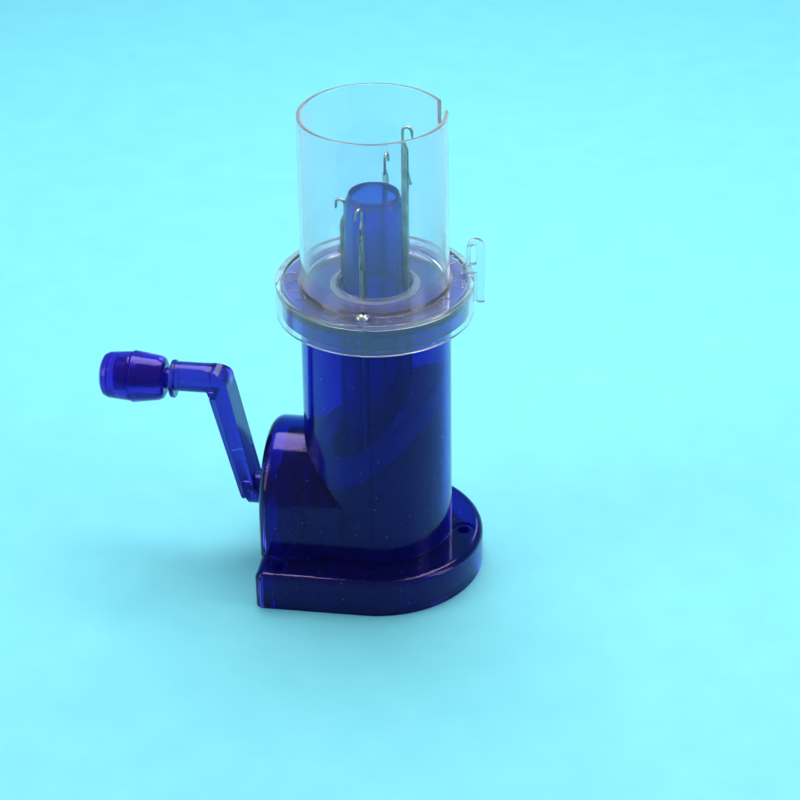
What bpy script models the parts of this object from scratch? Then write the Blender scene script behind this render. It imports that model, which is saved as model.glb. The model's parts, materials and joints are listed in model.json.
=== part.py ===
"""Hand-cranked cord knitting machine.

A hollow column on a D-shaped foot holds a needle cylinder that turns on a vertical axis.
A crank with a spinning knob drives the cylinder through a face gear in the side housing.
Four latch needles slide in grooves of the cylinder and follow a fixed cam inside the column.
The column's axis is the machine's own X = 0, Y = 0; the crank points to -X and the front to -Y.
"""

import math

import bmesh
import bpy
from mathutils import Matrix, Vector

MM = 0.001
GAP = 0.3 * MM
FULL_TURN = 2 * math.pi

# Overall
TOP_HEIGHT = 162.3 * MM
KNOB_REACH = 91.1 * MM
FOOT_REACH = 34.7 * MM
COLUMN_X = (KNOB_REACH - FOOT_REACH) / 2
SEAM_X = 1.2 * MM

# Foot
FOOT_HALF_WIDTH = 35.0 * MM
FOOT_HEIGHT = 12.9 * MM
FOOT_ROUND_X = FOOT_REACH - FOOT_HALF_WIDTH
FOOT_CRANK_END = -36.3 * MM
FOOT_CORNER = 3.0 * MM
FOOT_FILLET = 2.5 * MM
WALL = 2.0 * MM
PLATE_THICKNESS = 2.0 * MM

# Column and its top flange
COLUMN_RADIUS = 24.3 * MM
COLUMN_TOP_RADIUS = 23.85 * MM
COLUMN_BORE = 22.0 * MM
COLUMN_SIDES = 48
FLANGE_RADIUS = 29.6 * MM
FLANGE_TOP = 103.8 * MM
FLANGE_HOLE = 14.6 * MM
FLANGE_PLATE = 3.0 * MM
FLANGE_RIM_LOW = 97.0 * MM

# Side housing around the drive wheel
SHAFT_HEIGHT = 25.0 * MM
ARCH_RADIUS = 24.2 * MM
ARCH_END = -36.6 * MM
ARCH_FILLET = 4.0 * MM
END_WALL = 2.6 * MM

# Clear cover
COVER_TOP_RADIUS = 23.0 * MM
COVER_FOOT_RADIUS = 23.5 * MM
COVER_WALL = 1.2 * MM
COVER_FLOOR_LOW = 104.1 * MM
COVER_FLOOR_TOP = 105.5 * MM
COVER_HOLE = 12.0 * MM
SKIRT_RADIUS = 31.5 * MM
SKIRT_WALL = 1.5 * MM
SKIRT_LOW = 95.4 * MM
NOTCH_ANGLE = math.radians(22)
NOTCH_WIDTH = 8.2 * MM
NOTCH_DEPTH = 8.0 * MM
COVER_SCREW_Y = 26.4 * MM

# Needle cylinder and its gear
CYLINDER_TOP = 135.8 * MM
CYLINDER_BORE = 7.0 * MM
TUBE_TOP_RADIUS = 9.0 * MM
TUBE_FOOT_RADIUS = 9.85 * MM
DRUM_RADIUS = 11.7 * MM
DRUM_TOP = 103.4 * MM
JOURNAL_RADIUS = 9.0 * MM
GEAR_SEAT_RADIUS = 9.9 * MM
GROOVE_FLOOR = 9.0 * MM
GROOVE_WIDTH = 2.3 * MM

# Gear pair: the drive wheel's teeth face the column and mesh under the shaft
MODULE = 1.5 * MM
WHEEL_TEETH = 24
GEAR_TEETH = 32
WHEEL_PITCH = WHEEL_TEETH * MODULE / 2
GEAR_PITCH = GEAR_TEETH * MODULE / 2
GEAR_LOW = 4.5 * MM
GEAR_HIGH = 9.5 * MM
WHEEL_FACE = -25.9 * MM
WHEEL_TOOTH_HEIGHT = 2.9 * MM

# Crank
PIN_HEIGHT = 64.4 * MM
SPINDLE_HEIGHT = 65.45 * MM
ARM_TOP_RADIUS = 5.2 * MM
ARM_FOOT_RADIUS = 6.2 * MM
SHAFT_RADIUS = 3.0 * MM
SPINDLE_RADIUS = 4.9 * MM
PIN_RADIUS = 3.3 * MM

# Needles: angle around the column in degrees and the name of each place
NEEDLES = {"front": -103, "right": -13, "back": 77, "left": 167}
HOOK_MEAN_HEIGHT = 143.0 * MM
NEEDLE_LENGTH = 95.0 * MM
BUTT_DROP = 91.5 * MM
NEEDLE_WIDTH = 1.7 * MM
LATCH_DROP = 10.6 * MM
LATCH_RADIUS = 10.2 * MM
LATCH_LENGTH = 8.9 * MM
LATCH_REST = math.radians(13)

# Colours of the plastics and metals
PURPLE = (0.035, 0.02, 0.30, 1.0)
CLEAR = (0.80, 0.92, 0.97, 1.0)
STEEL = (0.56, 0.57, 0.55, 1.0)
GEAR_VIOLET = (0.05, 0.03, 0.22, 1.0)


def cam_lift(angle):
    """Height of the cam track above its mean height, at an angle around the column."""
    main_wave = 14.5 * MM * math.cos(angle - math.radians(5))
    second_wave = 2.95 * MM * math.cos(2 * (angle + math.radians(13)))
    return main_wave + second_wave


# --- scene helpers -------------------------------------------------------------------------

def clear_scene():
    for obj in list(bpy.data.objects):
        bpy.data.objects.remove(obj, do_unlink=True)


def new_collection(name):
    collection = bpy.data.collections.new(name)
    bpy.context.scene.collection.children.link(collection)
    return collection


def add_object(name, data, place=(0, 0, 0), turn=(0, 0, 0)):
    """Add an object at a place given from the column's axis; it starts as a cutter."""
    obj = bpy.data.objects.new(name, data)
    obj.location = Vector(place) + Vector((COLUMN_X, 0, 0))
    obj.rotation_euler = turn
    obj.hide_render = True
    obj.display_type = "WIRE"
    CUTTERS.objects.link(obj)
    return obj


def make_part(obj, name, material):
    """Turn a helper object into a finished sub-part."""
    CUTTERS.objects.unlink(obj)
    PARTS.objects.link(obj)
    obj.name = name
    obj.data.name = name
    obj.hide_render = False
    obj.display_type = "TEXTURED"
    obj.data.materials.clear()
    obj.data.materials.append(material)
    return obj


def new_material(name, colour, roughness, metallic, transmission=0.0):
    material = bpy.data.materials.new(name)
    material.use_nodes = True
    shader = material.node_tree.nodes["Principled BSDF"]
    shader.inputs["Base Color"].default_value = colour
    shader.inputs["Roughness"].default_value = roughness
    shader.inputs["Metallic"].default_value = metallic
    shader.inputs["Transmission Weight"].default_value = transmission
    return material


def hang(obj, pivot):
    """Parent an object to a pivot without moving it."""
    obj.parent = pivot
    obj.matrix_parent_inverse = Matrix.Translation(-Vector(pivot["place"]))


def add_pivot(name, place, parent=None):
    pivot = bpy.data.objects.new(name, None)
    world_place = Vector(place) + Vector((COLUMN_X, 0, 0))
    pivot.location = world_place
    pivot["place"] = world_place
    pivot.empty_display_size = 10 * MM
    PARTS.objects.link(pivot)
    if parent is not None:
        pivot.parent = parent
        pivot.matrix_parent_inverse = Matrix.Translation(-Vector(parent["place"]))
    return pivot


# --- shape helpers -------------------------------------------------------------------------

def combine(obj, operand, operation):
    modifier = obj.modifiers.new(operation.lower(), "BOOLEAN")
    modifier.operation = operation
    modifier.solver = "EXACT"
    modifier.object = operand
    return obj


def join(obj, *operands):
    for operand in operands:
        combine(obj, operand, "UNION")
    return obj


def cut(obj, *operands):
    for operand in operands:
        combine(obj, operand, "DIFFERENCE")
    return obj


def mesh_from(bm, name):
    mesh = bpy.data.meshes.new(name)
    bmesh.ops.recalc_face_normals(bm, faces=bm.faces)
    bm.to_mesh(mesh)
    bm.free()
    return mesh


def add_round(bm, radius, low, high, centre=(0, 0), segments=48, high_radius=None):
    """Add a closed cylinder or cone with a vertical axis to a mesh."""
    matrix = Matrix.Translation((centre[0], centre[1], (low + high) / 2))
    top = radius if high_radius is None else high_radius
    bmesh.ops.create_cone(bm, cap_ends=True, segments=segments, radius1=radius,
                          radius2=top, depth=high - low, matrix=matrix)


def rounds(name, *cylinders, turn=(0, 0, 0), place=(0, 0, 0)):
    """One object holding separate cylinders, each (radius, low, high, centre, segments)."""
    bm = bmesh.new()
    for cylinder in cylinders:
        add_round(bm, *cylinder)
    return add_object(name, mesh_from(bm, name), place, turn)


def box(name, low, high, turn=(0, 0, 0), place=(0, 0, 0)):
    low = Vector(low)
    high = Vector(high)
    bm = bmesh.new()
    matrix = Matrix.Translation((low + high) / 2) @ Matrix.Diagonal((high - low).to_4d())
    bmesh.ops.create_cube(bm, size=1, matrix=matrix)
    return add_object(name, mesh_from(bm, name), place, turn)


def turned(name, profile, segments=48, closed=False, turn=(0, 0, 0), place=(0, 0, 0)):
    """Turn a profile of (radius, height) points about Z; it runs down the outer side."""
    mesh = bpy.data.meshes.new(name)
    points = [(radius, 0, height) for radius, height in profile]
    edges = [(index, index + 1) for index in range(len(points) - 1)]
    if closed:
        edges.append((len(points) - 1, 0))
    mesh.from_pydata(points, edges, [])
    obj = add_object(name, mesh, place, turn)
    screw = obj.modifiers.new("turn", "SCREW")
    screw.steps = segments
    screw.render_steps = segments
    screw.use_merge_vertices = True
    screw.merge_threshold = 0.00001
    screw.use_smooth_shade = True
    return obj


def curve_mesh(curve):
    """Mesh of a curve, with its caps welded on."""
    holder = bpy.data.objects.new(curve.name, curve)
    CUTTERS.objects.link(holder)
    bpy.context.view_layer.update()
    evaluated = holder.evaluated_get(bpy.context.evaluated_depsgraph_get())
    mesh = bpy.data.meshes.new_from_object(evaluated)
    bpy.data.objects.remove(holder, do_unlink=True)
    bm = bmesh.new()
    bm.from_mesh(mesh)
    bmesh.ops.remove_doubles(bm, verts=bm.verts, dist=0.00001)
    bmesh.ops.dissolve_limit(bm, angle_limit=0.001, verts=bm.verts, edges=bm.edges)
    bmesh.ops.recalc_face_normals(bm, faces=bm.faces)
    bm.to_mesh(mesh)
    bm.free()
    return mesh


def plate(name, outline, low, high, axis="Z"):
    """Extrude a flat outline from low to high along an axis.

    Along Z the outline is (x, y), along X it is (y, z), and along Y it is (x, z).
    """
    curve = bpy.data.curves.new(name, "CURVE")
    curve.dimensions = "2D"
    curve.fill_mode = "BOTH"
    curve.extrude = (high - low) / 2
    spline = curve.splines.new("POLY")
    spline.points.add(len(outline) - 1)
    for point, (first, second) in zip(spline.points, outline):
        point.co = (first, second, 0, 1)
    spline.use_cyclic_u = True
    mesh = curve_mesh(curve)
    columns = {"X": ((0, 0, 1), (1, 0, 0), (0, 1, 0)),
               "Y": ((1, 0, 0), (0, 0, 1), (0, 1, 0)),
               "Z": ((1, 0, 0), (0, 1, 0), (0, 0, 1))}
    mesh.transform(Matrix(columns[axis]).to_4x4())
    shift = {"X": (1, 0, 0), "Y": (0, 1, 0), "Z": (0, 0, 1)}[axis]
    mesh.transform(Matrix.Translation(Vector(shift) * (low + high) / 2))
    bm = bmesh.new()
    bm.from_mesh(mesh)
    bmesh.ops.recalc_face_normals(bm, faces=bm.faces)
    bm.to_mesh(mesh)
    bm.free()
    return add_object(name, mesh)


def round_edges(obj, radius, segments, chosen):
    """Round the sharp edges of an object's mesh whose two ends pass a test."""
    bm = bmesh.new()
    bm.from_mesh(obj.data)
    edges = [edge for edge in bm.edges
             if all(chosen(vert.co) for vert in edge.verts) and edge.calc_face_angle(0) > 0.5]
    bmesh.ops.bevel(bm, geom=edges, offset=radius, segments=segments, profile=0.5,
                    affect="EDGES", clamp_overlap=True)
    bm.to_mesh(obj.data)
    bm.free()
    return obj


def arc(centre, radius, start, end, steps):
    """Points on an arc, from one angle to another in degrees, both ends included."""
    points = []
    for step in range(steps + 1):
        angle = math.radians(start + (end - start) * step / steps)
        points.append((centre[0] + radius * math.cos(angle), centre[1] + radius * math.sin(angle)))
    return points


def foot_outline(inset=0.0):
    """Plan of the foot: a half circle at the far end and two small corners at the crank end."""
    half = FOOT_HALF_WIDTH - inset
    end = FOOT_CRANK_END + inset
    corner = FOOT_CORNER - min(inset, FOOT_CORNER - 0.8 * MM)
    points = arc((FOOT_ROUND_X, 0), half, -90, 90, 24)
    points += arc((end + corner, half - corner), corner, 90, 180, 3)
    points += arc((end + corner, corner - half), corner, 180, 270, 3)
    return points


def arch_outline(radius, low):
    """Section of the side housing: a half circle on straight walls."""
    return [(radius, low)] + arc((0, SHAFT_HEIGHT), radius, 0, 180, 20) + [(-radius, low)]


# --- fixed body ----------------------------------------------------------------------------

SCREW_DOWN_HOLES = ((28.4 * MM, 0), (-29.4 * MM, -28.3 * MM), (-29.4 * MM, 28.3 * MM))
PLATE_SCREWS = ((13 * MM, -25.2 * MM), (13 * MM, 25.2 * MM), (-14 * MM, -29 * MM), (-14 * MM, 29 * MM))
COVER_SCREWS = ((0, -COVER_SCREW_Y), (0, COVER_SCREW_Y))


def column_shape():
    """Column with the flange and its turned-down rim, solid inside."""
    rim = FLANGE_RADIUS - 1.7 * MM
    under = FLANGE_TOP - FLANGE_PLATE
    profile = [(0, FLANGE_TOP), (FLANGE_RADIUS - 0.6 * MM, FLANGE_TOP),
               (FLANGE_RADIUS, FLANGE_TOP - 0.6 * MM), (FLANGE_RADIUS, FLANGE_RIM_LOW),
               (rim, FLANGE_RIM_LOW), (rim, under), (COLUMN_TOP_RADIUS, under),
               (COLUMN_RADIUS, FOOT_HEIGHT - 4 * MM), (0, FOOT_HEIGHT - 4 * MM)]
    return turned("column_shape", profile, COLUMN_SIDES)


def column_bore():
    ledge = COLUMN_BORE - 1.4 * MM
    under = FLANGE_TOP - FLANGE_PLATE
    profile = [(0, FLANGE_TOP + 5 * MM), (FLANGE_HOLE, FLANGE_TOP + 5 * MM), (FLANGE_HOLE, under),
               (COLUMN_BORE, under), (COLUMN_BORE, FOOT_HEIGHT), (ledge, FOOT_HEIGHT),
               (ledge, -5 * MM), (0, -5 * MM)]
    return turned("column_bore", profile, COLUMN_SIDES)


def foot_shape():
    foot = plate("foot_shape", foot_outline(), 0, FOOT_HEIGHT)
    return round_edges(foot, FOOT_FILLET, 2, lambda place: place.z > FOOT_HEIGHT - 0.1 * MM)


def arch_shape():
    arch = plate("arch_shape", arch_outline(ARCH_RADIUS, FOOT_HEIGHT - 4 * MM), ARCH_END, -1 * MM, "X")
    return round_edges(arch, ARCH_FILLET, 3, lambda place: place.x < ARCH_END + 0.1 * MM
                       and place.z > 0)


def arch_hollow():
    return plate("arch_hollow", arch_outline(ARCH_RADIUS - WALL, -5 * MM),
                 ARCH_END + END_WALL, -3 * MM, "X")


def screw_bosses():
    tall = FOOT_HEIGHT - WALL / 2
    low = PLATE_THICKNESS + GAP
    posts = [(2.75 * MM, low, tall, SCREW_DOWN_HOLES[0], 12)]
    posts += [(3.6 * MM, low, tall, place, 12) for place in SCREW_DOWN_HOLES[1:]]
    posts += [(2.6 * MM, low, tall, place, 12) for place in PLATE_SCREWS]
    posts += [(2.7 * MM, FLANGE_RIM_LOW, FLANGE_TOP - 1 * MM, place, 12) for place in COVER_SCREWS]
    return rounds("screw_bosses", *posts)


def screw_holes():
    holes = [(2.0 * MM, -5 * MM, FOOT_HEIGHT + 5 * MM, place, 16) for place in SCREW_DOWN_HOLES]
    holes += [(1.3 * MM, -5 * MM, FOOT_HEIGHT - 2.6 * MM, place, 10) for place in PLATE_SCREWS]
    holes += [(1.3 * MM, FLANGE_RIM_LOW - 5 * MM, FLANGE_TOP + 1 * MM, place, 10)
              for place in COVER_SCREWS]
    return rounds("screw_holes", *holes)


def screw_seats():
    seat = FOOT_HEIGHT - 0.6 * MM
    return rounds("screw_seats", *[(3.7 * MM, seat, FOOT_HEIGHT + 5 * MM, place, 16)
                                   for place in SCREW_DOWN_HOLES])


def housing_shape():
    """The whole purple body before it is split into its two halves."""
    housing = cut(arch_shape(), arch_hollow())
    join(housing, column_shape(), foot_shape())
    foot_hollow = plate("foot_hollow", foot_outline(2.2 * MM), -5 * MM, FOOT_HEIGHT - WALL)
    cut(housing, column_bore(), foot_hollow)
    join(housing, screw_bosses())
    inner_end = ARCH_END + END_WALL
    wheel_window = box("wheel_window", (-27 * MM, -12 * MM, 5 * MM), (-19 * MM, 12 * MM, 45.5 * MM))
    floor_opening = box("floor_opening", (inner_end, -21.5 * MM, -5 * MM), (-21 * MM, 21.5 * MM, 13.5 * MM))
    bush_hole = rounds("bush_hole", (5.3 * MM, -6 * MM, 6 * MM, (0, 0), 24),
                       turn=(0, math.pi / 2, 0), place=(ARCH_END, 0, SHAFT_HEIGHT))
    return cut(housing, screw_holes(), screw_seats(), wheel_window, floor_opening, bush_hole)


def make_housing(material):
    whole = housing_shape()
    reach = 60 * MM
    halves = {"housing_crank_half": (-reach, SEAM_X - GAP / 2),
              "housing_far_half": (SEAM_X + GAP / 2, reach)}
    made = []
    for name, (low, high) in halves.items():
        half = box(name, (low, -reach, -10 * MM), (high, reach, 2 * reach))
        combine(half, whole, "INTERSECT")
        made.append(make_part(half, name, material))
    return made


def make_base_plate(material):
    base = plate("base_plate", foot_outline(2.2 * MM + GAP), 0, PLATE_THICKNESS)
    journal_hole = rounds("journal_hole", (JOURNAL_RADIUS + 0.4 * MM, -5 * MM, 8 * MM, (0, 0), 32))
    holes = [(2.2 * MM, -5 * MM, 8 * MM, place, 16) for place in SCREW_DOWN_HOLES]
    holes += [(1.3 * MM, -5 * MM, 8 * MM, place, 10) for place in PLATE_SCREWS]
    sinks = [(2.9 * MM, -0.1 * MM, 1.3 * MM, place, 12, 1.5 * MM) for place in PLATE_SCREWS]
    cut(base, journal_hole, rounds("plate_holes", *holes), rounds("plate_sinks", *sinks))
    return make_part(base, "base_plate", material)


def make_plate_screw(name, place, material):
    """Countersunk screw that comes up through the base plate."""
    profile = [(0, 8.6 * MM), (0.5 * MM, 8.6 * MM), (1.0 * MM, 7.6 * MM), (1.0 * MM, 1.5 * MM),
               (2.3 * MM, 0.2 * MM), (0, 0.2 * MM)]
    screw = turned(name, profile, 10, place=(place[0], place[1], 0))
    return make_part(screw, name, material)


def make_thrust_washer(material):
    low = PLATE_THICKNESS + GAP
    profile = [(12.6 * MM, GEAR_LOW - GAP), (12.6 * MM, low), (9.4 * MM, low), (9.4 * MM, GEAR_LOW - GAP)]
    return make_part(turned("thrust_washer", profile, 24, closed=True), "thrust_washer", material)


def make_shaft_bush(material):
    """Flanged bush in the end wall; its profile runs from the flange outwards."""
    inner = SHAFT_RADIUS + GAP
    outer = 5.0 * MM
    flange = 7.0 * MM
    profile = [(flange, 4.0 * MM), (flange, 2.9 * MM), (outer, 2.9 * MM), (outer, -0.3 * MM),
               (inner, -0.3 * MM), (inner, 4.0 * MM)]
    bush = turned("shaft_bush", profile, 20, closed=True, turn=(0, math.pi / 2, 0),
                  place=(ARCH_END, 0, SHAFT_HEIGHT))
    return make_part(bush, "shaft_bush", material)


def lift_by_cam(obj, lowest):
    """Give an object its turned mesh, with every point above a height raised by the cam's law."""
    bpy.context.view_layer.update()
    evaluated = obj.evaluated_get(bpy.context.evaluated_depsgraph_get())
    mesh = bpy.data.meshes.new_from_object(evaluated)
    obj.modifiers.clear()
    obj.data = mesh
    for vertex in mesh.vertices:
        if vertex.co.z > lowest:
            vertex.co.z += cam_lift(math.atan2(vertex.co.y, vertex.co.x))
    return obj


CAM_OUTER = 21.6 * MM
CAM_SLEEVE = 20.2 * MM
CAM_INNER = 15.0 * MM
CAM_TOP = 48.3 * MM


def make_lower_cam(material):
    """Sleeve standing on the foot, with an inward ledge that follows the cam's law."""
    foot = FOOT_HEIGHT + GAP
    ledge = CAM_TOP - 2.5 * MM
    profile = [(CAM_OUTER, CAM_TOP), (CAM_OUTER, foot), (CAM_SLEEVE, foot), (CAM_SLEEVE, ledge),
               (CAM_INNER, ledge), (CAM_INNER, CAM_TOP)]
    cam = lift_by_cam(turned("lower_cam", profile, 40, closed=True), 30 * MM)
    return make_part(cam, "lower_cam", material)


def make_upper_cam(material):
    """Band on the lower cam with the rail that pulls the needles down."""
    low = CAM_TOP + 0.4 * MM
    top = CAM_TOP + 9.3 * MM
    rail = top - 3.0 * MM
    profile = [(CAM_OUTER, top), (CAM_OUTER, low), (CAM_SLEEVE, low), (CAM_SLEEVE, rail),
               (CAM_INNER, rail), (CAM_INNER, top)]
    cam = lift_by_cam(turned("upper_cam", profile, 40, closed=True), 30 * MM)
    return make_part(cam, "upper_cam", material)


def cover_profile():
    """Ring section of the cover: tall tube, floor, raised rim and skirt."""
    inner_top = COVER_TOP_RADIUS - COVER_WALL
    inner_foot = COVER_FOOT_RADIUS - COVER_WALL
    skirt_in = SKIRT_RADIUS - SKIRT_WALL
    rim_top = COVER_FLOOR_TOP + 0.7 * MM
    return [(COVER_TOP_RADIUS, TOP_HEIGHT), (COVER_FOOT_RADIUS, COVER_FLOOR_TOP + 1.0 * MM),
            (COVER_FOOT_RADIUS + 0.8 * MM, COVER_FLOOR_TOP),
            (skirt_in - 1.2 * MM, COVER_FLOOR_TOP), (skirt_in - 0.6 * MM, rim_top),
            (SKIRT_RADIUS - 0.6 * MM, rim_top), (SKIRT_RADIUS, rim_top - 0.8 * MM),
            (SKIRT_RADIUS, SKIRT_LOW), (skirt_in, SKIRT_LOW), (skirt_in, COVER_FLOOR_LOW),
            (COVER_HOLE, COVER_FLOOR_LOW), (COVER_HOLE, COVER_FLOOR_TOP),
            (inner_foot, COVER_FLOOR_TOP), (inner_top, TOP_HEIGHT)]


def yarn_notch():
    """Round-bottomed slot cut down into the tube's rim."""
    half = NOTCH_WIDTH / 2
    bottom = TOP_HEIGHT - NOTCH_DEPTH
    corner = 1.5 * MM
    outline = arc((corner - half, bottom + corner), corner, 180, 270, 4)
    outline += arc((half - corner, bottom + corner), corner, 270, 360, 4)
    outline += [(half, TOP_HEIGHT + 5 * MM), (-half, TOP_HEIGHT + 5 * MM)]
    notch = plate("yarn_notch", outline, 19 * MM, 27 * MM, "X")
    notch.rotation_euler = (0, 0, NOTCH_ANGLE)
    return notch


def make_clear_cover(material):
    cover = turned("clear_cover", cover_profile(), COLUMN_SIDES, closed=True)
    bosses = rounds("cover_bosses", *[(5.0 * MM, COVER_FLOOR_LOW, COVER_FLOOR_TOP + 0.5 * MM, place, 20)
                                      for place in COVER_SCREWS])
    holes = rounds("cover_holes", *[(1.3 * MM, 100 * MM, 110 * MM, place, 10) for place in COVER_SCREWS])
    cut(join(cover, bosses), holes, yarn_notch())
    return make_part(cover, "clear_cover", material)


def make_cover_screw(name, place, material):
    head_low = COVER_FLOOR_TOP + 0.8 * MM
    profile = [(0, head_low + 1.6 * MM), (1.1 * MM, head_low + 1.45 * MM),
               (1.9 * MM, head_low + 0.95 * MM), (2.3 * MM, head_low + 0.2 * MM),
               (2.3 * MM, head_low), (1.0 * MM, head_low), (1.0 * MM, 97.6 * MM), (0, 96.8 * MM)]
    screw = turned(name, profile, 14, place=(place[0], place[1], 0))
    return make_part(screw, name, material)


def make_retaining_ring(material):
    """Ring under the cover's floor, seated in the flange's hole round the needles."""
    low = FLANGE_TOP - FLANGE_PLATE + 0.2 * MM
    high = FLANGE_TOP
    outer = FLANGE_HOLE - GAP
    inner = COVER_HOLE + GAP
    profile = [(outer, high), (outer, low), (inner, low), (inner, high)]
    ring = turned("needle_retaining_ring", profile, 32, closed=True)
    return make_part(ring, "needle_retaining_ring", material)


def make_yarn_guide(material):
    """Flat hook standing on the cover's rim; the yarn runs through its eye."""
    foot = COVER_FLOOR_TOP + 1.0 * MM
    outer = 34.6 * MM
    leg_in = 31.9 * MM
    eye_in = 30.0 * MM
    back = 28.9 * MM
    arch_height = 115.4 * MM
    bridge = 109.6 * MM
    radius = (outer - back) / 2
    middle = (outer + back) / 2
    outline = [(outer, 96.0 * MM)] + arc((middle, arch_height), radius, 0, 180, 10)
    outline += [(back, bridge), (27.4 * MM, bridge - 0.6 * MM), (27.0 * MM, foot), (leg_in, foot)]
    outline += [(leg_in, 96.0 * MM)]
    eye_radius = (leg_in - eye_in) / 2
    eye = [(leg_in, bridge)] + arc((eye_in + eye_radius, arch_height), eye_radius, 0, 180, 8)
    eye += [(eye_in, bridge)]
    thickness = 2.4 * MM
    guide = plate("yarn_guide", outline, -thickness / 2, thickness / 2, "Y")
    hole = plate("guide_eye", eye, -thickness, thickness, "Y")
    for obj in (guide, hole):
        obj.rotation_euler = (0, 0, math.radians(12))
    return make_part(cut(guide, hole), "yarn_guide", material)


# --- crank ---------------------------------------------------------------------------------

def x_turned(name, profile, segments=32, closed=False, height=SHAFT_HEIGHT):
    """Turned piece on an axis along X; its profile is (radius, x) with x falling."""
    return turned(name, profile, segments, closed, turn=(0, math.pi / 2, 0), place=(0, 0, height))


def d_section(radius, flat, low, high):
    """D-shaped bar along X: a circle with its underside cut flat."""
    reach = math.degrees(math.asin(flat / radius))
    outline = [(y, z + SHAFT_HEIGHT) for y, z in arc((0, 0), radius, -reach, 180 + reach, 14)]
    return plate("d_section", outline, low, high, "X")


ARM_LOW = 18.8 * MM
ARM_BEND = 60.8 * MM
SPINDLE_ROOT = -57.0 * MM
SPINDLE_END = -66.4 * MM
FLANGE_END = -67.9 * MM
KNOB_START = -69.8 * MM
KNOB_STEP = -80.6 * MM


def arm_inner(height):
    """X of the arm's inner face, which leans away from the column."""
    return -40.4 * MM - 0.195 * (height - 24.0 * MM)


def arm_outer(height):
    """X of the face that the cover strip lies on."""
    return -45.9 * MM - 0.222 * (height - 31.4 * MM)


def arm_front(low):
    """The arm seen along its spindle: round at both ends, with straight tapering sides."""
    lean = math.degrees(math.asin((ARM_FOOT_RADIUS - ARM_TOP_RADIUS) / (SPINDLE_HEIGHT - SHAFT_HEIGHT)))
    outline = arc((0, SPINDLE_HEIGHT), ARM_TOP_RADIUS, lean, 180 - lean, 14)
    outline += arc((0, SHAFT_HEIGHT), ARM_FOOT_RADIUS, 180 - lean, 360 + lean, 16)
    return plate("arm_front", outline, low, -30 * MM, "X")


def arm_blade():
    """Leaning flat arm that bends over into the spindle at its top."""
    elbow = [(-48.2 * MM, 63.5 * MM), (-48.6 * MM, 65.6 * MM), (-49.6 * MM, 67.1 * MM),
             (-51.4 * MM, 68.5 * MM), (-53.8 * MM, 69.6 * MM), (SPINDLE_ROOT, 70.3 * MM)]
    throat = [(SPINDLE_ROOT, 64.2 * MM), (-56.0 * MM, 63.2 * MM), (-55.2 * MM, 61.9 * MM),
              (-55.0 * MM, ARM_BEND)]
    outline = [(arm_inner(ARM_LOW), ARM_LOW), (arm_inner(ARM_BEND), ARM_BEND)] + elbow + throat
    outline += [(arm_outer(ARM_BEND), ARM_BEND), (arm_outer(ARM_LOW), ARM_LOW)]
    side = plate("arm_side", outline, -9 * MM, 9 * MM, "Y")
    return combine(side, arm_front(-60 * MM), "INTERSECT")


def spindle_shape():
    """Spindle that runs from the elbow to the flange."""
    profile = [(0, -54 * MM), (SPINDLE_RADIUS, -54 * MM), (SPINDLE_RADIUS, SPINDLE_END - 0.5 * MM),
               (0, SPINDLE_END - 0.5 * MM)]
    return x_turned("spindle_shape", profile, 24, height=SPINDLE_HEIGHT)


def pin_shape():
    """Flange, neck and snap head of the knob's pin, a little below the spindle's own axis."""
    profile = [(0, SPINDLE_END), (5.9 * MM, SPINDLE_END), (6.3 * MM, SPINDLE_END - 0.4 * MM),
               (6.3 * MM, FLANGE_END + 0.4 * MM), (5.9 * MM, FLANGE_END), (PIN_RADIUS, FLANGE_END),
               (PIN_RADIUS, -82.0 * MM), (4.3 * MM, -82.0 * MM), (4.3 * MM, -83.2 * MM),
               (2.8 * MM, -85.4 * MM), (0, -85.4 * MM)]
    return x_turned("pin_shape", profile, 24, height=PIN_HEIGHT)


def make_crank_arm(material):
    hub = rounds("arm_hub", (4.4 * MM, -42.6 * MM, -37.2 * MM, (0, 0), 20),
                 turn=(0, math.pi / 2, 0), place=(0, 0, SHAFT_HEIGHT))
    arm = join(arm_blade(), spindle_shape(), pin_shape(), hub)
    socket = d_section(SHAFT_RADIUS + GAP, 2.4 * MM, -42.0 * MM, -30 * MM)
    screw_hole = rounds("hub_screw_hole", (1.3 * MM, -50 * MM, -40 * MM, (0, 0), 10),
                        turn=(0, math.pi / 2, 0), place=(0, 0, SHAFT_HEIGHT))
    head_sink = rounds("hub_screw_sink", (2.6 * MM, -50 * MM, -43.0 * MM, (0, 0), 14),
                       turn=(0, math.pi / 2, 0), place=(0, 0, SHAFT_HEIGHT))
    return make_part(cut(arm, socket, screw_hole, head_sink), "crank_arm", material)


def make_arm_cover(material):
    """Strip that closes the outer side of the arm."""
    low = 22.8 * MM
    high = ARM_BEND - GAP
    outline = [(arm_outer(low) - GAP, low), (arm_outer(high) - GAP, high), (-54.8 * MM, high),
               (-45.45 * MM, low)]
    cover = plate("arm_cover_side", outline, -9 * MM, 9 * MM, "Y")
    combine(cover, arm_front(-60 * MM), "INTERSECT")
    return make_part(cover, "crank_arm_cover", material)


def make_hub_screw(material):
    profile = [(0, -34.6 * MM), (1.0 * MM, -35.4 * MM), (1.0 * MM, -43.2 * MM),
               (2.2 * MM, -43.2 * MM), (2.2 * MM, -43.4 * MM), (1.8 * MM, -43.6 * MM), (0, -43.6 * MM)]
    return make_part(x_turned("hub_screw", profile, 12), "hub_screw", material)


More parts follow.
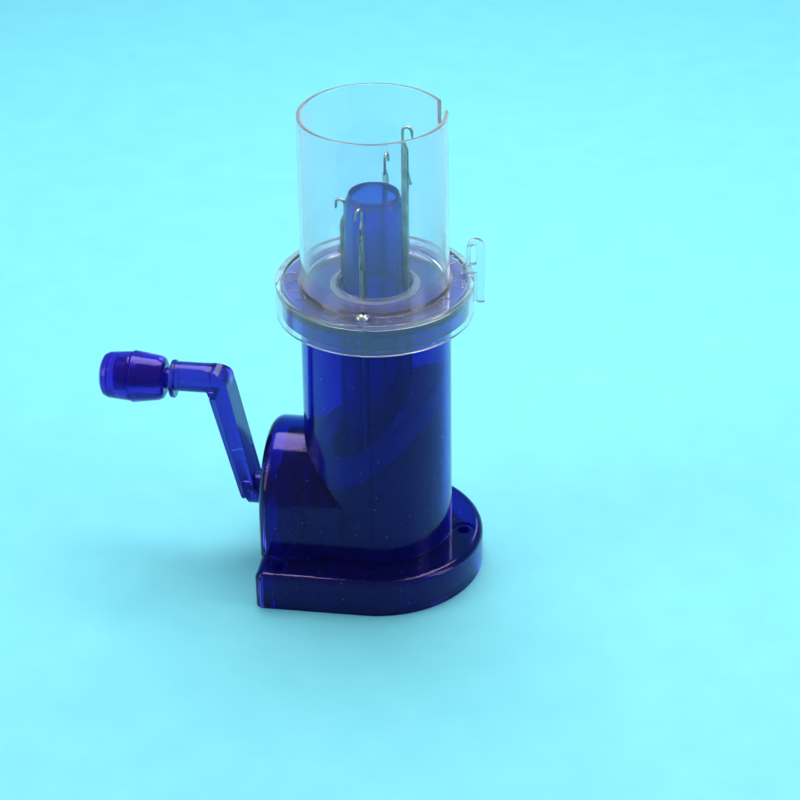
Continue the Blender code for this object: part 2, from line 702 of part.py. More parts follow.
def make_crank_shaft(material):
    """Shaft with a flat at both ends, a clip groove and a tapped end for the hub screw."""
    profile = [(0, -23.0 * MM), (2.6 * MM, -23.0 * MM), (SHAFT_RADIUS, -23.4 * MM),
               (SHAFT_RADIUS, -24.4 * MM), (2.1 * MM, -24.4 * MM), (2.1 * MM, -25.5 * MM),
               (SHAFT_RADIUS, -25.5 * MM), (SHAFT_RADIUS, -41.7 * MM), (0, -41.7 * MM)]
    shaft = x_turned("crank_shaft", profile, 20)
    flats = [box("shaft_flat", (low, -5 * MM, SHAFT_HEIGHT - 5 * MM),
                 (high, 5 * MM, SHAFT_HEIGHT - 2.1 * MM))
             for low, high in ((-45 * MM, -37.0 * MM), (-32.5 * MM, -20 * MM))]
    tapped = rounds("tapped_end", (1.3 * MM, -45 * MM, -34.2 * MM, (0, 0), 10),
                    turn=(0, math.pi / 2, 0), place=(0, 0, SHAFT_HEIGHT))
    return make_part(cut(shaft, tapped, *flats), "crank_shaft", material)


def wheel_teeth():
    """Ring of tapered teeth on the wheel's face, one of them straight below the shaft."""
    inner = WHEEL_PITCH - 1.5 * MM
    outer = WHEEL_PITCH + 1.5 * MM
    root = WHEEL_FACE - 0.5 * MM
    tip = WHEEL_FACE + WHEEL_TOOTH_HEIGHT
    bm = bmesh.new()
    for index in range(WHEEL_TEETH):
        turn = Matrix.Rotation(FULL_TURN * index / WHEEL_TEETH, 4, "X")
        made = bmesh.ops.create_cube(bm, size=1)
        for vertex in made["verts"]:
            width = 0.95 * MM if vertex.co.x > 0 else 1.6 * MM
            depth = tip if vertex.co.x > 0 else root
            radius = outer if vertex.co.z < 0 else inner
            vertex.co = turn @ Vector((depth, vertex.co.y * width, -radius))
            vertex.co.z += SHAFT_HEIGHT
    return add_object("wheel_teeth", mesh_from(bm, "wheel_teeth"))


def make_drive_wheel(material):
    rim_low = 14.5 * MM
    rim = 20.2 * MM
    back = WHEEL_FACE - 4.4 * MM
    web = WHEEL_FACE - 2.4 * MM
    profile = [(0, WHEEL_FACE), (rim, WHEEL_FACE), (rim, back), (rim_low, back), (rim_low, web),
               (6.4 * MM, web), (6.4 * MM, -32.3 * MM), (0, -32.3 * MM)]
    wheel = x_turned("drive_wheel", profile, 32)
    join(wheel, wheel_teeth())
    cut(wheel, d_section(SHAFT_RADIUS + GAP, 2.4 * MM, -40 * MM, -20 * MM))
    return make_part(wheel, "drive_wheel", material)


def make_wheel_clip(material):
    """Open spring ring in the shaft's groove."""
    outline = [(y, z + SHAFT_HEIGHT) for y, z in arc((0, 0), 5.2 * MM, 30, 330, 14)]
    outline += [(y, z + SHAFT_HEIGHT) for y, z in arc((0, 0), 2.4 * MM, 330, 30, 10)]
    clip = plate("wheel_clip", outline, -25.3 * MM, -24.6 * MM, "X")
    return make_part(clip, "wheel_clip", material)


def make_knob_inner(material):
    """Half of the knob that runs on the pin's neck."""
    bore = PIN_RADIUS + 0.4 * MM
    profile = [(bore, KNOB_START), (5.4 * MM, KNOB_START), (6.7 * MM, KNOB_START - 0.6 * MM),
               (7.35 * MM, KNOB_START - 1.9 * MM), (8.6 * MM, KNOB_STEP + 0.3 * MM),
               (8.6 * MM, KNOB_STEP), (bore, KNOB_STEP)]
    knob = x_turned("knob_inner_half", profile, 24, closed=True, height=PIN_HEIGHT)
    return make_part(knob, "knob_inner_half", material)


def make_knob_outer(material):
    """Blind half of the knob that closes over the pin's snap head."""
    start = KNOB_STEP - GAP
    profile = [(8.25 * MM, start), (7.6 * MM, -88.6 * MM), (6.9 * MM, -90.2 * MM),
               (5.4 * MM, -KNOB_REACH), (0, -KNOB_REACH)]
    hollow = [(0, -86.6 * MM), (4.8 * MM, -86.6 * MM), (4.8 * MM, start)]
    knob = x_turned("knob_outer_half", hollow + profile, 24, height=PIN_HEIGHT)
    return make_part(knob, "knob_outer_half", material)


# --- needle cylinder -----------------------------------------------------------------------

def key_block(width, radius, low, high):
    return box("gear_key", (GEAR_SEAT_RADIUS - 1 * MM, -width / 2, low), (radius, width / 2, high),
               turn=(0, 0, math.radians(30)))


def make_needle_cylinder(material):
    low = 0.3 * MM
    gear_stop = GEAR_HIGH + GAP
    profile = [(CYLINDER_BORE, CYLINDER_TOP - 2 * MM), (7.65 * MM, CYLINDER_TOP), (7.85 * MM, CYLINDER_TOP),
               (TUBE_TOP_RADIUS, CYLINDER_TOP - 3 * MM), (TUBE_FOOT_RADIUS, DRUM_TOP),
               (DRUM_RADIUS - 0.5 * MM, DRUM_TOP), (DRUM_RADIUS, DRUM_TOP - 0.5 * MM),
               (DRUM_RADIUS, gear_stop), (GEAR_SEAT_RADIUS, gear_stop),
               (GEAR_SEAT_RADIUS, GEAR_LOW), (JOURNAL_RADIUS, GEAR_LOW),
               (JOURNAL_RADIUS, low), (CYLINDER_BORE, low)]
    cylinder = turned("needle_cylinder", profile, 36, closed=True)
    join(cylinder, key_block(1.6 * MM, 11.4 * MM, GEAR_LOW + GAP, gear_stop + 1 * MM))
    for angle in NEEDLES.values():
        groove = box("needle_groove", (GROOVE_FLOOR, -GROOVE_WIDTH / 2, 33 * MM),
                     (13 * MM, GROOVE_WIDTH / 2, 140 * MM), turn=(0, 0, math.radians(angle)))
        cut(cylinder, groove)
    return make_part(cylinder, "needle_cylinder", material)


def gear_outline():
    """Straight-flanked teeth with a gap facing the crank."""
    tip = GEAR_PITCH + 1.3 * MM
    root = GEAR_PITCH - 1.8 * MM
    pitch_angle = FULL_TURN / GEAR_TEETH
    corners = ((root, -0.27), (tip, -0.125), (tip, 0.125), (root, 0.27))
    outline = []
    for tooth in range(GEAR_TEETH):
        for radius, share in corners:
            angle = (tooth + 0.5 + share) * pitch_angle
            outline.append((radius * math.cos(angle), radius * math.sin(angle)))
    return outline


def make_cylinder_gear(material):
    gear = plate("cylinder_gear", gear_outline(), GEAR_LOW, GEAR_HIGH)
    bore = rounds("gear_bore", (GEAR_SEAT_RADIUS + GAP, 0, 15 * MM, (0, 0), 24))
    keyway = key_block(2.2 * MM, 11.8 * MM, 0, 15 * MM)
    recess = turned("gear_recess", [(19.5 * MM, 15 * MM), (19.5 * MM, 7 * MM), (13.5 * MM, 7 * MM),
                                    (13.5 * MM, 15 * MM)], 24, closed=True)
    return make_part(cut(gear, bore, keyway, recess), "cylinder_gear", material)


# --- needles -------------------------------------------------------------------------------

SHANK_IN = 9.3 * MM
SHANK_OUT = 11.35 * MM
BUTT_OUT = 14.5 * MM
WIRE_RADIUS = 0.45 * MM
STEM_RADIUS = 9.75 * MM
HOOK_BEND = 1.5 * MM


def needle_plate():
    """Shank and butt, drawn in the plane through the column's axis; height 0 is the hook's top."""
    butt_low = -BUTT_DROP - 2.75 * MM
    butt_high = -BUTT_DROP + 2.75 * MM
    outline = [(SHANK_IN, -NEEDLE_LENGTH), (SHANK_OUT, -NEEDLE_LENGTH), (SHANK_OUT, butt_low),
               (BUTT_OUT, butt_low), (BUTT_OUT, butt_high), (SHANK_OUT, butt_high),
               (SHANK_OUT, -7.6 * MM), (STEM_RADIUS + 0.9 * MM, -6.0 * MM),
               (STEM_RADIUS + 0.3 * MM, -5.1 * MM), (STEM_RADIUS - 0.3 * MM, -5.1 * MM),
               (SHANK_IN, -6.8 * MM)]
    return plate("needle_plate", outline, -NEEDLE_WIDTH / 2, NEEDLE_WIDTH / 2, "Y")


def hook_wire():
    """Round wire from the shank up, over and down to the hook's tip."""
    centre = (STEM_RADIUS + HOOK_BEND, -HOOK_BEND - WIRE_RADIUS)
    path = [(STEM_RADIUS, -6.6 * MM), (STEM_RADIUS, -4.0 * MM)]
    path += arc(centre, HOOK_BEND, 180, 0, 6)
    path += [(STEM_RADIUS + 2 * HOOK_BEND, -3.7 * MM)]
    curve = bpy.data.curves.new("hook_wire", "CURVE")
    curve.dimensions = "3D"
    curve.bevel_depth = WIRE_RADIUS
    curve.bevel_resolution = 1
    curve.use_fill_caps = True
    spline = curve.splines.new("POLY")
    spline.points.add(len(path) - 1)
    for point, (radius, height) in zip(spline.points, path):
        point.co = (radius, 0, height, 1)
    return add_object("hook_wire", curve_mesh(curve))


def needle_mesh():
    """Mesh of one whole needle, shared by all four."""
    shank = join(needle_plate(), hook_wire())
    slot = box("latch_slot", (7 * MM, -0.5 * MM, -21.0 * MM), (13 * MM, 0.5 * MM, -7.0 * MM))
    pivot_hole = rounds("pivot_hole", (0.5 * MM, -3 * MM, 3 * MM, (0, 0), 10),
                        turn=(math.pi / 2, 0, 0), place=(LATCH_RADIUS, 0, -LATCH_DROP))
    cut(shank, slot, pivot_hole)
    bpy.context.view_layer.update()
    evaluated = shank.evaluated_get(bpy.context.evaluated_depsgraph_get())
    return bpy.data.meshes.new_from_object(evaluated)


def latch_mesh():
    """Thin blade with an eye at the pivot and a spoon at the tip, open and hanging."""
    down = -90 + math.degrees(LATCH_REST)
    outline = arc((0, 0), 0.95 * MM, 25, 335, 10)
    outline += [(3.0 * MM, -0.32 * MM), (7.4 * MM, -0.32 * MM)]
    outline += arc((LATCH_LENGTH - 0.6 * MM, 0), 0.55 * MM, -90, 90, 4)
    outline += [(7.4 * MM, 0.32 * MM), (3.0 * MM, 0.32 * MM)]
    blade = plate("latch_blade", outline, -0.25 * MM, 0.25 * MM, "Y")
    eye = rounds("latch_eye", (0.5 * MM, -3 * MM, 3 * MM, (0, 0), 10), turn=(math.pi / 2, 0, 0))
    cut(blade, eye)
    bpy.context.view_layer.update()
    evaluated = blade.evaluated_get(bpy.context.evaluated_depsgraph_get())
    mesh = bpy.data.meshes.new_from_object(evaluated)
    mesh.transform(Matrix.Rotation(-math.radians(down), 4, "Y"))
    return mesh


def rivet_mesh():
    bm = bmesh.new()
    add_round(bm, 0.3 * MM, -NEEDLE_WIDTH / 2, NEEDLE_WIDTH / 2, (0, 0), 10)
    mesh = mesh_from(bm, "rivet")
    mesh.transform(Matrix.Rotation(math.pi / 2, 4, "X"))
    return mesh


def hook_height(angle):
    return HOOK_MEAN_HEIGHT + cam_lift(angle)


def make_needles(material, cylinder_pivot):
    """Four needles with their rivets and latches, each set at its height on the cam."""
    needle = needle_mesh()
    latch = latch_mesh()
    rivet = rivet_mesh()
    for name, degrees in NEEDLES.items():
        angle = math.radians(degrees)
        top = hook_height(angle)
        turn = (0, 0, angle)
        joint = (LATCH_RADIUS * math.cos(angle), LATCH_RADIUS * math.sin(angle), top - LATCH_DROP)
        lift = add_pivot("lift_" + name, (0, 0, top), cylinder_pivot)
        flip = add_pivot("flip_" + name, joint, lift)
        pieces = (("needle_" + name, needle, (0, 0, top), lift),
                  ("latch_rivet_" + name, rivet, joint, lift),
                  ("latch_" + name, latch, joint, flip))
        for piece_name, mesh, place, pivot in pieces:
            piece = make_part(add_object(piece_name, mesh, place, turn), piece_name, material)
            hang(piece, pivot)


# --- the machine ---------------------------------------------------------------------------

def make_body():
    purple = new_material("purple_plastic", PURPLE, 0.12, 0.0, 0.6)
    dark = new_material("purple_cam", PURPLE, 0.25, 0.0, 0.3)
    clear = new_material("clear_plastic", CLEAR, 0.05, 0.0, 0.9)
    gear = new_material("gear_plastic", GEAR_VIOLET, 0.4, 0.0)
    steel = new_material("steel", STEEL, 0.3, 1.0)
    make_housing(purple)
    make_base_plate(purple)
    for index, place in enumerate(PLATE_SCREWS):
        make_plate_screw("base_plate_screw_%d" % (index + 1), place, steel)
    make_thrust_washer(gear)
    make_shaft_bush(gear)
    make_lower_cam(dark)
    make_upper_cam(dark)
    make_clear_cover(clear)
    make_cover_screw("cover_screw_front", COVER_SCREWS[0], steel)
    make_cover_screw("cover_screw_back", COVER_SCREWS[1], steel)
    make_retaining_ring(clear)
    make_yarn_guide(clear)


def make_crank():
    purple = new_material("crank_purple", PURPLE, 0.12, 0.0, 0.5)
    gear = new_material("wheel_plastic", GEAR_VIOLET, 0.4, 0.0)
    steel = new_material("shaft_steel", STEEL, 0.25, 1.0)
    crank_pivot = add_pivot("crank_pivot", (0, 0, SHAFT_HEIGHT))
    knob_pivot = add_pivot("knob_pivot", (-80 * MM, 0, PIN_HEIGHT), crank_pivot)
    crank_pieces = (make_crank_arm(purple), make_arm_cover(purple), make_hub_screw(steel),
                    make_crank_shaft(steel), make_drive_wheel(gear), make_wheel_clip(steel))
    for piece in crank_pieces:
        hang(piece, crank_pivot)
    for piece in (make_knob_inner(purple), make_knob_outer(purple)):
        hang(piece, knob_pivot)


def make_cylinder():
    purple = new_material("cylinder_purple", PURPLE, 0.15, 0.0, 0.5)
    gear = new_material("cylinder_gear_plastic", GEAR_VIOLET, 0.4, 0.0)
    steel = new_material("needle_steel", STEEL, 0.28, 1.0)
    cylinder_pivot = add_pivot("cylinder_pivot", (0, 0, 0))
    for piece in (make_needle_cylinder(purple), make_cylinder_gear(gear)):
        hang(piece, cylinder_pivot)
    make_needles(steel, cylinder_pivot)


clear_scene()
PARTS = new_collection("cord_knitting_machine")
CUTTERS = new_collection("cutters")
make_body()
make_crank()
make_cylinder()
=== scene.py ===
"""Looks of the hand-cranked cord knitting machine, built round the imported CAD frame."""

import json
import math

import bmesh
import bpy
from mathutils import Matrix, Vector


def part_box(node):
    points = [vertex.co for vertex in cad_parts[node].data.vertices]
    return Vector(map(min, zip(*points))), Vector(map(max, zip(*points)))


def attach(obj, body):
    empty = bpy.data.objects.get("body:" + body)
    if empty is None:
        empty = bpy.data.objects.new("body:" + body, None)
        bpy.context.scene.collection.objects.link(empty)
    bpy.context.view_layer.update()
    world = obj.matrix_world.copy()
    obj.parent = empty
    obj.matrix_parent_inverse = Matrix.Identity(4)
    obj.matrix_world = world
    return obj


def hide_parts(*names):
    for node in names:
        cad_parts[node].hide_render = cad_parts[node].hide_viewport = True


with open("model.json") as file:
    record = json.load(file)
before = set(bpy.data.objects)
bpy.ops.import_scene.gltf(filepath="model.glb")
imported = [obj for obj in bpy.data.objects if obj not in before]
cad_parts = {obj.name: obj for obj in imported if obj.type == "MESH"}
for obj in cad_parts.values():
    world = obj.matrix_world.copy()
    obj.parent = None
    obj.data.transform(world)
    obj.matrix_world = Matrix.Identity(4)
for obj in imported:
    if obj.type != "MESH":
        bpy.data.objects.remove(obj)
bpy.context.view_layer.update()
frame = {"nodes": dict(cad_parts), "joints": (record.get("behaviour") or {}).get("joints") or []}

MM = 0.001
GAP = 0.3 * MM
SEAM_GAP = 0.08 * MM
JOINTS = {joint["name"]: joint for joint in frame["joints"]}
COLUMN_X = JOINTS["cylinder_spin"]["pos_m"][0]
SHAFT_HEIGHT = JOINTS["crank_turn"]["pos_m"][2]
PIN_HEIGHT = JOINTS["knob_spin"]["pos_m"][2]


def top_of(node):
    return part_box(node)[1].z


def low_x(node):
    """Lowest X of a CAD node, measured from the column's axis."""
    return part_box(node)[0].x - COLUMN_X


# Measures that the frame gives; every X is measured from the column's axis
TOP_HEIGHT = top_of("clear_cover")
CYLINDER_TOP = top_of("needle_cylinder")
FLANGE_TOP = top_of("housing_far_half")
KNOB_END = low_x("knob_outer_half")
ARCH_END = low_x("housing_crank_half")
SEAM_X = (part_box("housing_crank_half")[1].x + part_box("housing_far_half")[0].x) / 2 - COLUMN_X
FOOT_HALF_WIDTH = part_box("housing_far_half")[1].y
FOOT_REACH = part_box("housing_far_half")[1].x - COLUMN_X
FOOT_ROUND_X = FOOT_REACH - FOOT_HALF_WIDTH

# Measures of the housing and the cover
FOOT_CRANK_END = -36.3 * MM
FOOT_HEIGHT = 12.9 * MM
COLUMN_BORE = 22.0 * MM
COLUMN_RADIUS = 24.3 * MM
COLUMN_TOP_RADIUS = 23.85 * MM
FLANGE_RADIUS = 29.6 * MM
FLANGE_HOLE = 14.6 * MM
FLANGE_PLATE = 3.0 * MM
FLANGE_RIM_LOW = 97.0 * MM
ARCH_RADIUS = 24.2 * MM
WALL = 2.0 * MM
END_WALL = 2.6 * MM
COVER_FLOOR_LOW = 104.1 * MM
COVER_FLOOR_TOP = 105.5 * MM
COVER_WALL = 1.2 * MM
COVER_HOLE = 12.0 * MM
SKIRT_RADIUS = 31.5 * MM
SKIRT_LOW = 95.4 * MM
SKIRT_WALL = 1.5 * MM
COVER_SCREW_Y = 26.4 * MM
PILOT_RADIUS = 1.3 * MM
BELOW = -5 * MM
QUARTER_TURN = math.pi / 2
SCREW_DOWN_HOLES = ((28.4 * MM, 0), (-29.4 * MM, -28.3 * MM), (-29.4 * MM, 28.3 * MM))
PLATE_SCREWS = ((13 * MM, -25.2 * MM), (13 * MM, 25.2 * MM), (-14 * MM, -29 * MM),
                (-14 * MM, 29 * MM))
COVER_SCREWS = ((0, -COVER_SCREW_Y), (0, COVER_SCREW_Y))

# Each needle's angle round the column in degrees
NEEDLES = {"front": -103, "right": -13, "back": 77, "left": 167}
NEEDLE_TOPS = {name: top_of("needle_" + name) for name in NEEDLES}
MAIN_LIFT = 14.5 * MM
SECOND_LIFT = 2.95 * MM


def cam_lift(angle):
    """Height of the cam track above its mean height, as the sum of two waves."""
    main_wave = MAIN_LIFT * math.cos(angle - math.radians(5))
    second_wave = SECOND_LIFT * math.cos(2 * (angle + math.radians(13)))
    return main_wave + second_wave


# --- mesh helpers --------------------------------------------------------------------------

LEAST_BEND = 0.3
SIDE_SHARE = 0.45
ON_AXIS = 1e-7
WELD_DISTANCE = 0.002 * MM
SHORTEST_EDGE = 0.001 * MM
SCRATCH = bpy.data.collections.new("scratch")
bpy.context.scene.collection.children.link(SCRATCH)


def mesh_of(name, bm, recalculate=False):
    """Turn an edit mesh into a mesh, with its normals outward if asked, and free it."""
    if recalculate:
        bmesh.ops.recalc_face_normals(bm, faces=bm.faces)
    mesh = bpy.data.meshes.new(name)
    bm.to_mesh(mesh)
    bm.free()
    return mesh


def add_object(name, mesh, place=(0, 0, 0), turn=(0, 0, 0)):
    obj = bpy.data.objects.new(name, mesh)
    obj.location = place
    obj.rotation_euler = turn
    SCRATCH.objects.link(obj)
    return obj


def settle(obj):
    """Bake an object's modifiers and place into its mesh."""
    bpy.context.view_layer.update()
    evaluated = obj.evaluated_get(bpy.context.evaluated_depsgraph_get())
    mesh = bpy.data.meshes.new_from_object(evaluated)
    mesh.transform(obj.matrix_world)
    obj.modifiers.clear()
    obj.data = mesh
    obj.matrix_world = Matrix.Identity(4)
    return obj


def combine(obj, operand, operation):
    """One exact Boolean, done at once; the operand is used up."""
    modifier = obj.modifiers.new(operation.lower(), "BOOLEAN")
    modifier.operation = operation
    modifier.solver = "EXACT"
    modifier.object = operand
    settle(obj)
    bpy.data.objects.remove(operand, do_unlink=True)
    return obj


def join(obj, *operands):
    for operand in operands:
        combine(obj, operand, "UNION")
    return obj


def cut(obj, *operands):
    for operand in operands:
        combine(obj, operand, "DIFFERENCE")
    return obj


def copy_of(obj):
    return add_object(obj.name + "_copy", obj.data.copy())


def rounds(name, *cylinders, turn=(0, 0, 0), place=(0, 0, 0)):
    """Separate cylinders in one object.

    Each is (radius, low, high, centre, segments), with its top radius last if it tapers.
    """
    bm = bmesh.new()
    for radius, low, high, centre, segments, *top in cylinders:
        matrix = Matrix.Translation((centre[0], centre[1], (low + high) / 2))
        bmesh.ops.create_cone(bm, cap_ends=True, segments=segments, radius1=radius,
                              radius2=top[0] if top else radius, depth=high - low, matrix=matrix)
    return settle(add_object(name, mesh_of(name, bm), place, turn))


def box(name, low, high, turn=(0, 0, 0), place=(0, 0, 0)):
    """Box between two corners, turned and placed."""
    low = Vector(low)
    high = Vector(high)
    bm = bmesh.new()
    matrix = Matrix.Translation((low + high) / 2) @ Matrix.Diagonal((high - low).to_4d())
    bmesh.ops.create_cube(bm, size=1, matrix=matrix)
    return settle(add_object(name, mesh_of(name, bm), place, turn))


def arc(centre, radius, start, end, steps):
    """Points on an arc, from one angle to another in degrees, both ends included."""
    points = []
    for step in range(steps + 1):
        angle = math.radians(start + (end - start) * step / steps)
        points.append((centre[0] + radius * math.cos(angle), centre[1] + radius * math.sin(angle)))
    return points


def soft_corners(points, radius, steps=4, closed=True):
    """Round every corner of a polygon by about one radius, less where its sides are short."""
    rounded = []
    count = len(points)
    for index, point in enumerate(points):
        here = Vector(point)
        if not closed and index in (0, count - 1):
            rounded.append(tuple(here))
            continue
        before = Vector(points[index - 1]) - here
        after = Vector(points[(index + 1) % count]) - here
        bend = math.pi - before.angle(after)
        if bend < LEAST_BEND:
            rounded.append(tuple(here))
            continue
        reach = min(radius * math.tan(bend / 2), before.length * SIDE_SHARE,
                    after.length * SIDE_SHARE)
        start = here + before.normalized() * reach
        end = here + after.normalized() * reach
        for step in range(steps + 1):
            share = step / steps
            curve_point = (start * (1 - share) ** 2 + here * 2 * share * (1 - share)
                           + end * share ** 2)
            rounded.append(tuple(curve_point))
    return rounded


def turned(name, profile, segments=128, closed=False, turn=(0, 0, 0), place=(0, 0, 0)):
    """Turn a profile of (radius, height) points about Z into a closed mesh.

    A closed profile is the section of a ring; an open one starts and ends on the axis.
    """
    bm = bmesh.new()
    rings = []
    for radius, height in profile:
        if radius < ON_AXIS:
            rings.append([bm.verts.new((0, 0, height))] * segments)
            continue
        ring = []
        for step in range(segments):
            angle = 2 * math.pi * step / segments
            ring.append(bm.verts.new((radius * math.cos(angle), radius * math.sin(angle), height)))
        rings.append(ring)
    pairs = list(zip(rings, rings[1:]))
    if closed:
        pairs.append((rings[-1], rings[0]))
    for upper, lower in pairs:
        for step in range(segments):
            following = (step + 1) % segments
            corners = [upper[step], upper[following], lower[following], lower[step]]
            kept = []
            for corner in corners:
                if corner not in kept:
                    kept.append(corner)
            if len(kept) > 2:
                bm.faces.new(kept)
    return settle(add_object(name, mesh_of(name, bm, recalculate=True), place, turn))


def x_turned(name, profile, segments=96, closed=False, height=SHAFT_HEIGHT):
    """Turned piece on an axis along X; its profile is (radius, x)."""
    return turned(name, profile, segments, closed, turn=(0, QUARTER_TURN, 0), place=(0, 0, height))


def plate(name, outline, low, high, axis="Z"):
    """Extrude a flat outline along an axis: (x, y) along Z, (y, z) along X, (x, z) along Y."""
    def placed(first, second, depth):
        return {"X": (depth, first, second), "Y": (first, depth, second),
                "Z": (first, second, depth)}[axis]

    bm = bmesh.new()
    lower = [bm.verts.new(placed(first, second, low)) for first, second in outline]
    upper = [bm.verts.new(placed(first, second, high)) for first, second in outline]
    bm.faces.new(lower)
    bm.faces.new(list(reversed(upper)))
    for index in range(len(outline)):
        following = (index + 1) % len(outline)
        bm.faces.new((lower[following], lower[index], upper[index], upper[following]))
    return add_object(name, mesh_of(name, bm, recalculate=True))


def round_edges(obj, radius, segments, chosen, sharpness=0.5):
    """Round the edges sharper than an angle in radians whose two ends pass a test."""
    bm = bmesh.new()
    bm.from_mesh(obj.data)
    edges = [edge for edge in bm.edges
             if all(chosen(vert.co) for vert in edge.verts) and edge.calc_face_angle(0) > sharpness]
    bmesh.ops.bevel(bm, geom=edges, offset=radius, segments=segments, profile=0.5,
                    affect="EDGES", clamp_overlap=True)
    bm.to_mesh(obj.data)
    bm.free()
    return obj


def wire(name, path, radius, sides=12):
    """Closed round wire along a line of points, with one radius or a list of them."""
    points = [Vector(point) for point in path]
    bm = bmesh.new()
    rings = []
    side = Vector((0, 1, 0))
    for index, point in enumerate(points):
        ahead = points[min(index + 1, len(points) - 1)]
        behind = points[max(index - 1, 0)]
        along = (ahead - behind).normalized()
        side = (side - along * side.dot(along)).normalized()
        other = along.cross(side)
        local = radius[index] if isinstance(radius, list) else radius
        ring = []
        for step in range(sides):
            angle = 2 * math.pi * step / sides
            outward = side * math.cos(angle) + other * math.sin(angle)
            ring.append(bm.verts.new(point + outward * local))
        rings.append(ring)
    for first, second in zip(rings, rings[1:]):
        for step in range(sides):
            following = (step + 1) % sides
            bm.faces.new((first[step], first[following], second[following], second[step]))
    for ring, centre in ((rings[0], points[0]), (rings[-1], points[-1])):
        middle = bm.verts.new(centre)
        for step in range(sides):
            bm.faces.new((ring[step], ring[(step + 1) % sides], middle))
    return add_object(name, mesh_of(name, bm, recalculate=True))


def finish_piece(obj, name, body, material, smooth=35):
    """Place a piece in the frame, shade it, and tie it to its body and its CAD node."""
    settle(obj)
    bm = bmesh.new()
    bm.from_mesh(obj.data)
    bmesh.ops.remove_doubles(bm, verts=bm.verts, dist=WELD_DISTANCE)
    bmesh.ops.dissolve_degenerate(bm, edges=bm.edges, dist=SHORTEST_EDGE)
    bmesh.ops.recalc_face_normals(bm, faces=bm.faces)
    bmesh.ops.translate(bm, verts=bm.verts, vec=(COLUMN_X, 0, 0))
    for face in bm.faces:
        face.smooth = True
    bm.to_mesh(obj.data)
    bm.free()
    obj.data.set_sharp_from_angle(angle=math.radians(smooth))
    weighted = obj.modifiers.new("weighted", "WEIGHTED_NORMAL")
    weighted.keep_sharp = True
    SCRATCH.objects.unlink(obj)
    bpy.context.scene.collection.objects.link(obj)
    obj.name = name
    obj.data.name = name
    obj.data.materials.clear()
    obj.data.materials.append(material)
    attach(obj, body)
    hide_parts(name.removesuffix("_piece"))


# --- materials -----------------------------------------------------------------------------

CLOUD_SCALE = 45.0
SMEAR_SCALE = 160.0
DUST_SCALE = 1300.0
DUST_EDGE = 0.02
DUST_COLOUR = (0.55, 0.6, 0.7)
DUST_ROUGHNESS = 0.5
WAVE_SCALE = 70.0
SCRATCH_SCALE = 500.0
STAIN_SCALE = 260.0
DRAWN_SCALE = 700.0
VIOLET_GLOSS = (0.62, 0.45, 0.95)
# Painted sheen on the clear plastic's grazing edges: less light passes there and its near-white
# colour shows
EDGE_BLEND = 0.35
EDGE_START = 0.3
PAINTED_SHEEN_CLEAR_SHARE = 0.45


def node(tree, kind, **values):
    """Add a shader node, with each value set on the socket or property of that name."""
    made = tree.nodes.new(kind)
    for key, value in values.items():
        if key in made.inputs:
            made.inputs[key].default_value = value
        else:
            setattr(made, key.lower(), value)
    return made


def noise(tree, coords, scale, detail, stretch=(1, 1, 1)):
    """Noise value between 0 and 1; a small stretch on one axis draws it into streaks."""
    mapping = tree.nodes.new("ShaderNodeMapping")
    mapping.inputs["Scale"].default_value = stretch
    tree.links.new(coords, mapping.inputs["Vector"])
    made = node(tree, "ShaderNodeTexNoise", Scale=scale, Detail=detail)
    tree.links.new(mapping.outputs["Vector"], made.inputs["Vector"])
    return made.outputs["Fac"]


def spread(tree, value, low, high, start=0.3, end=0.7):
    """Map a value from start..end to low..high."""
    made = node(tree, "ShaderNodeMapRange")
    made.inputs["From Min"].default_value = start
    made.inputs["From Max"].default_value = end
    made.inputs["To Min"].default_value = low
    made.inputs["To Max"].default_value = high
    tree.links.new(value, made.inputs["Value"])
    return made.outputs["Result"]


def mixed(tree, share, first, second):
    """Mix two colours, each a tuple or a socket, by a socket's value."""
    made = tree.nodes.new("ShaderNodeMix")
    made.data_type = "RGBA"
    tree.links.new(share, made.inputs["Factor"])
    first_colour, second_colour, mixed_colour = made.inputs[6], made.inputs[7], made.outputs[2]
    for socket, colour in ((first_colour, first), (second_colour, second)):
        if isinstance(colour, tuple):
            socket.default_value = (*colour, 1.0)
        else:
            tree.links.new(colour, socket)
    return mixed_colour


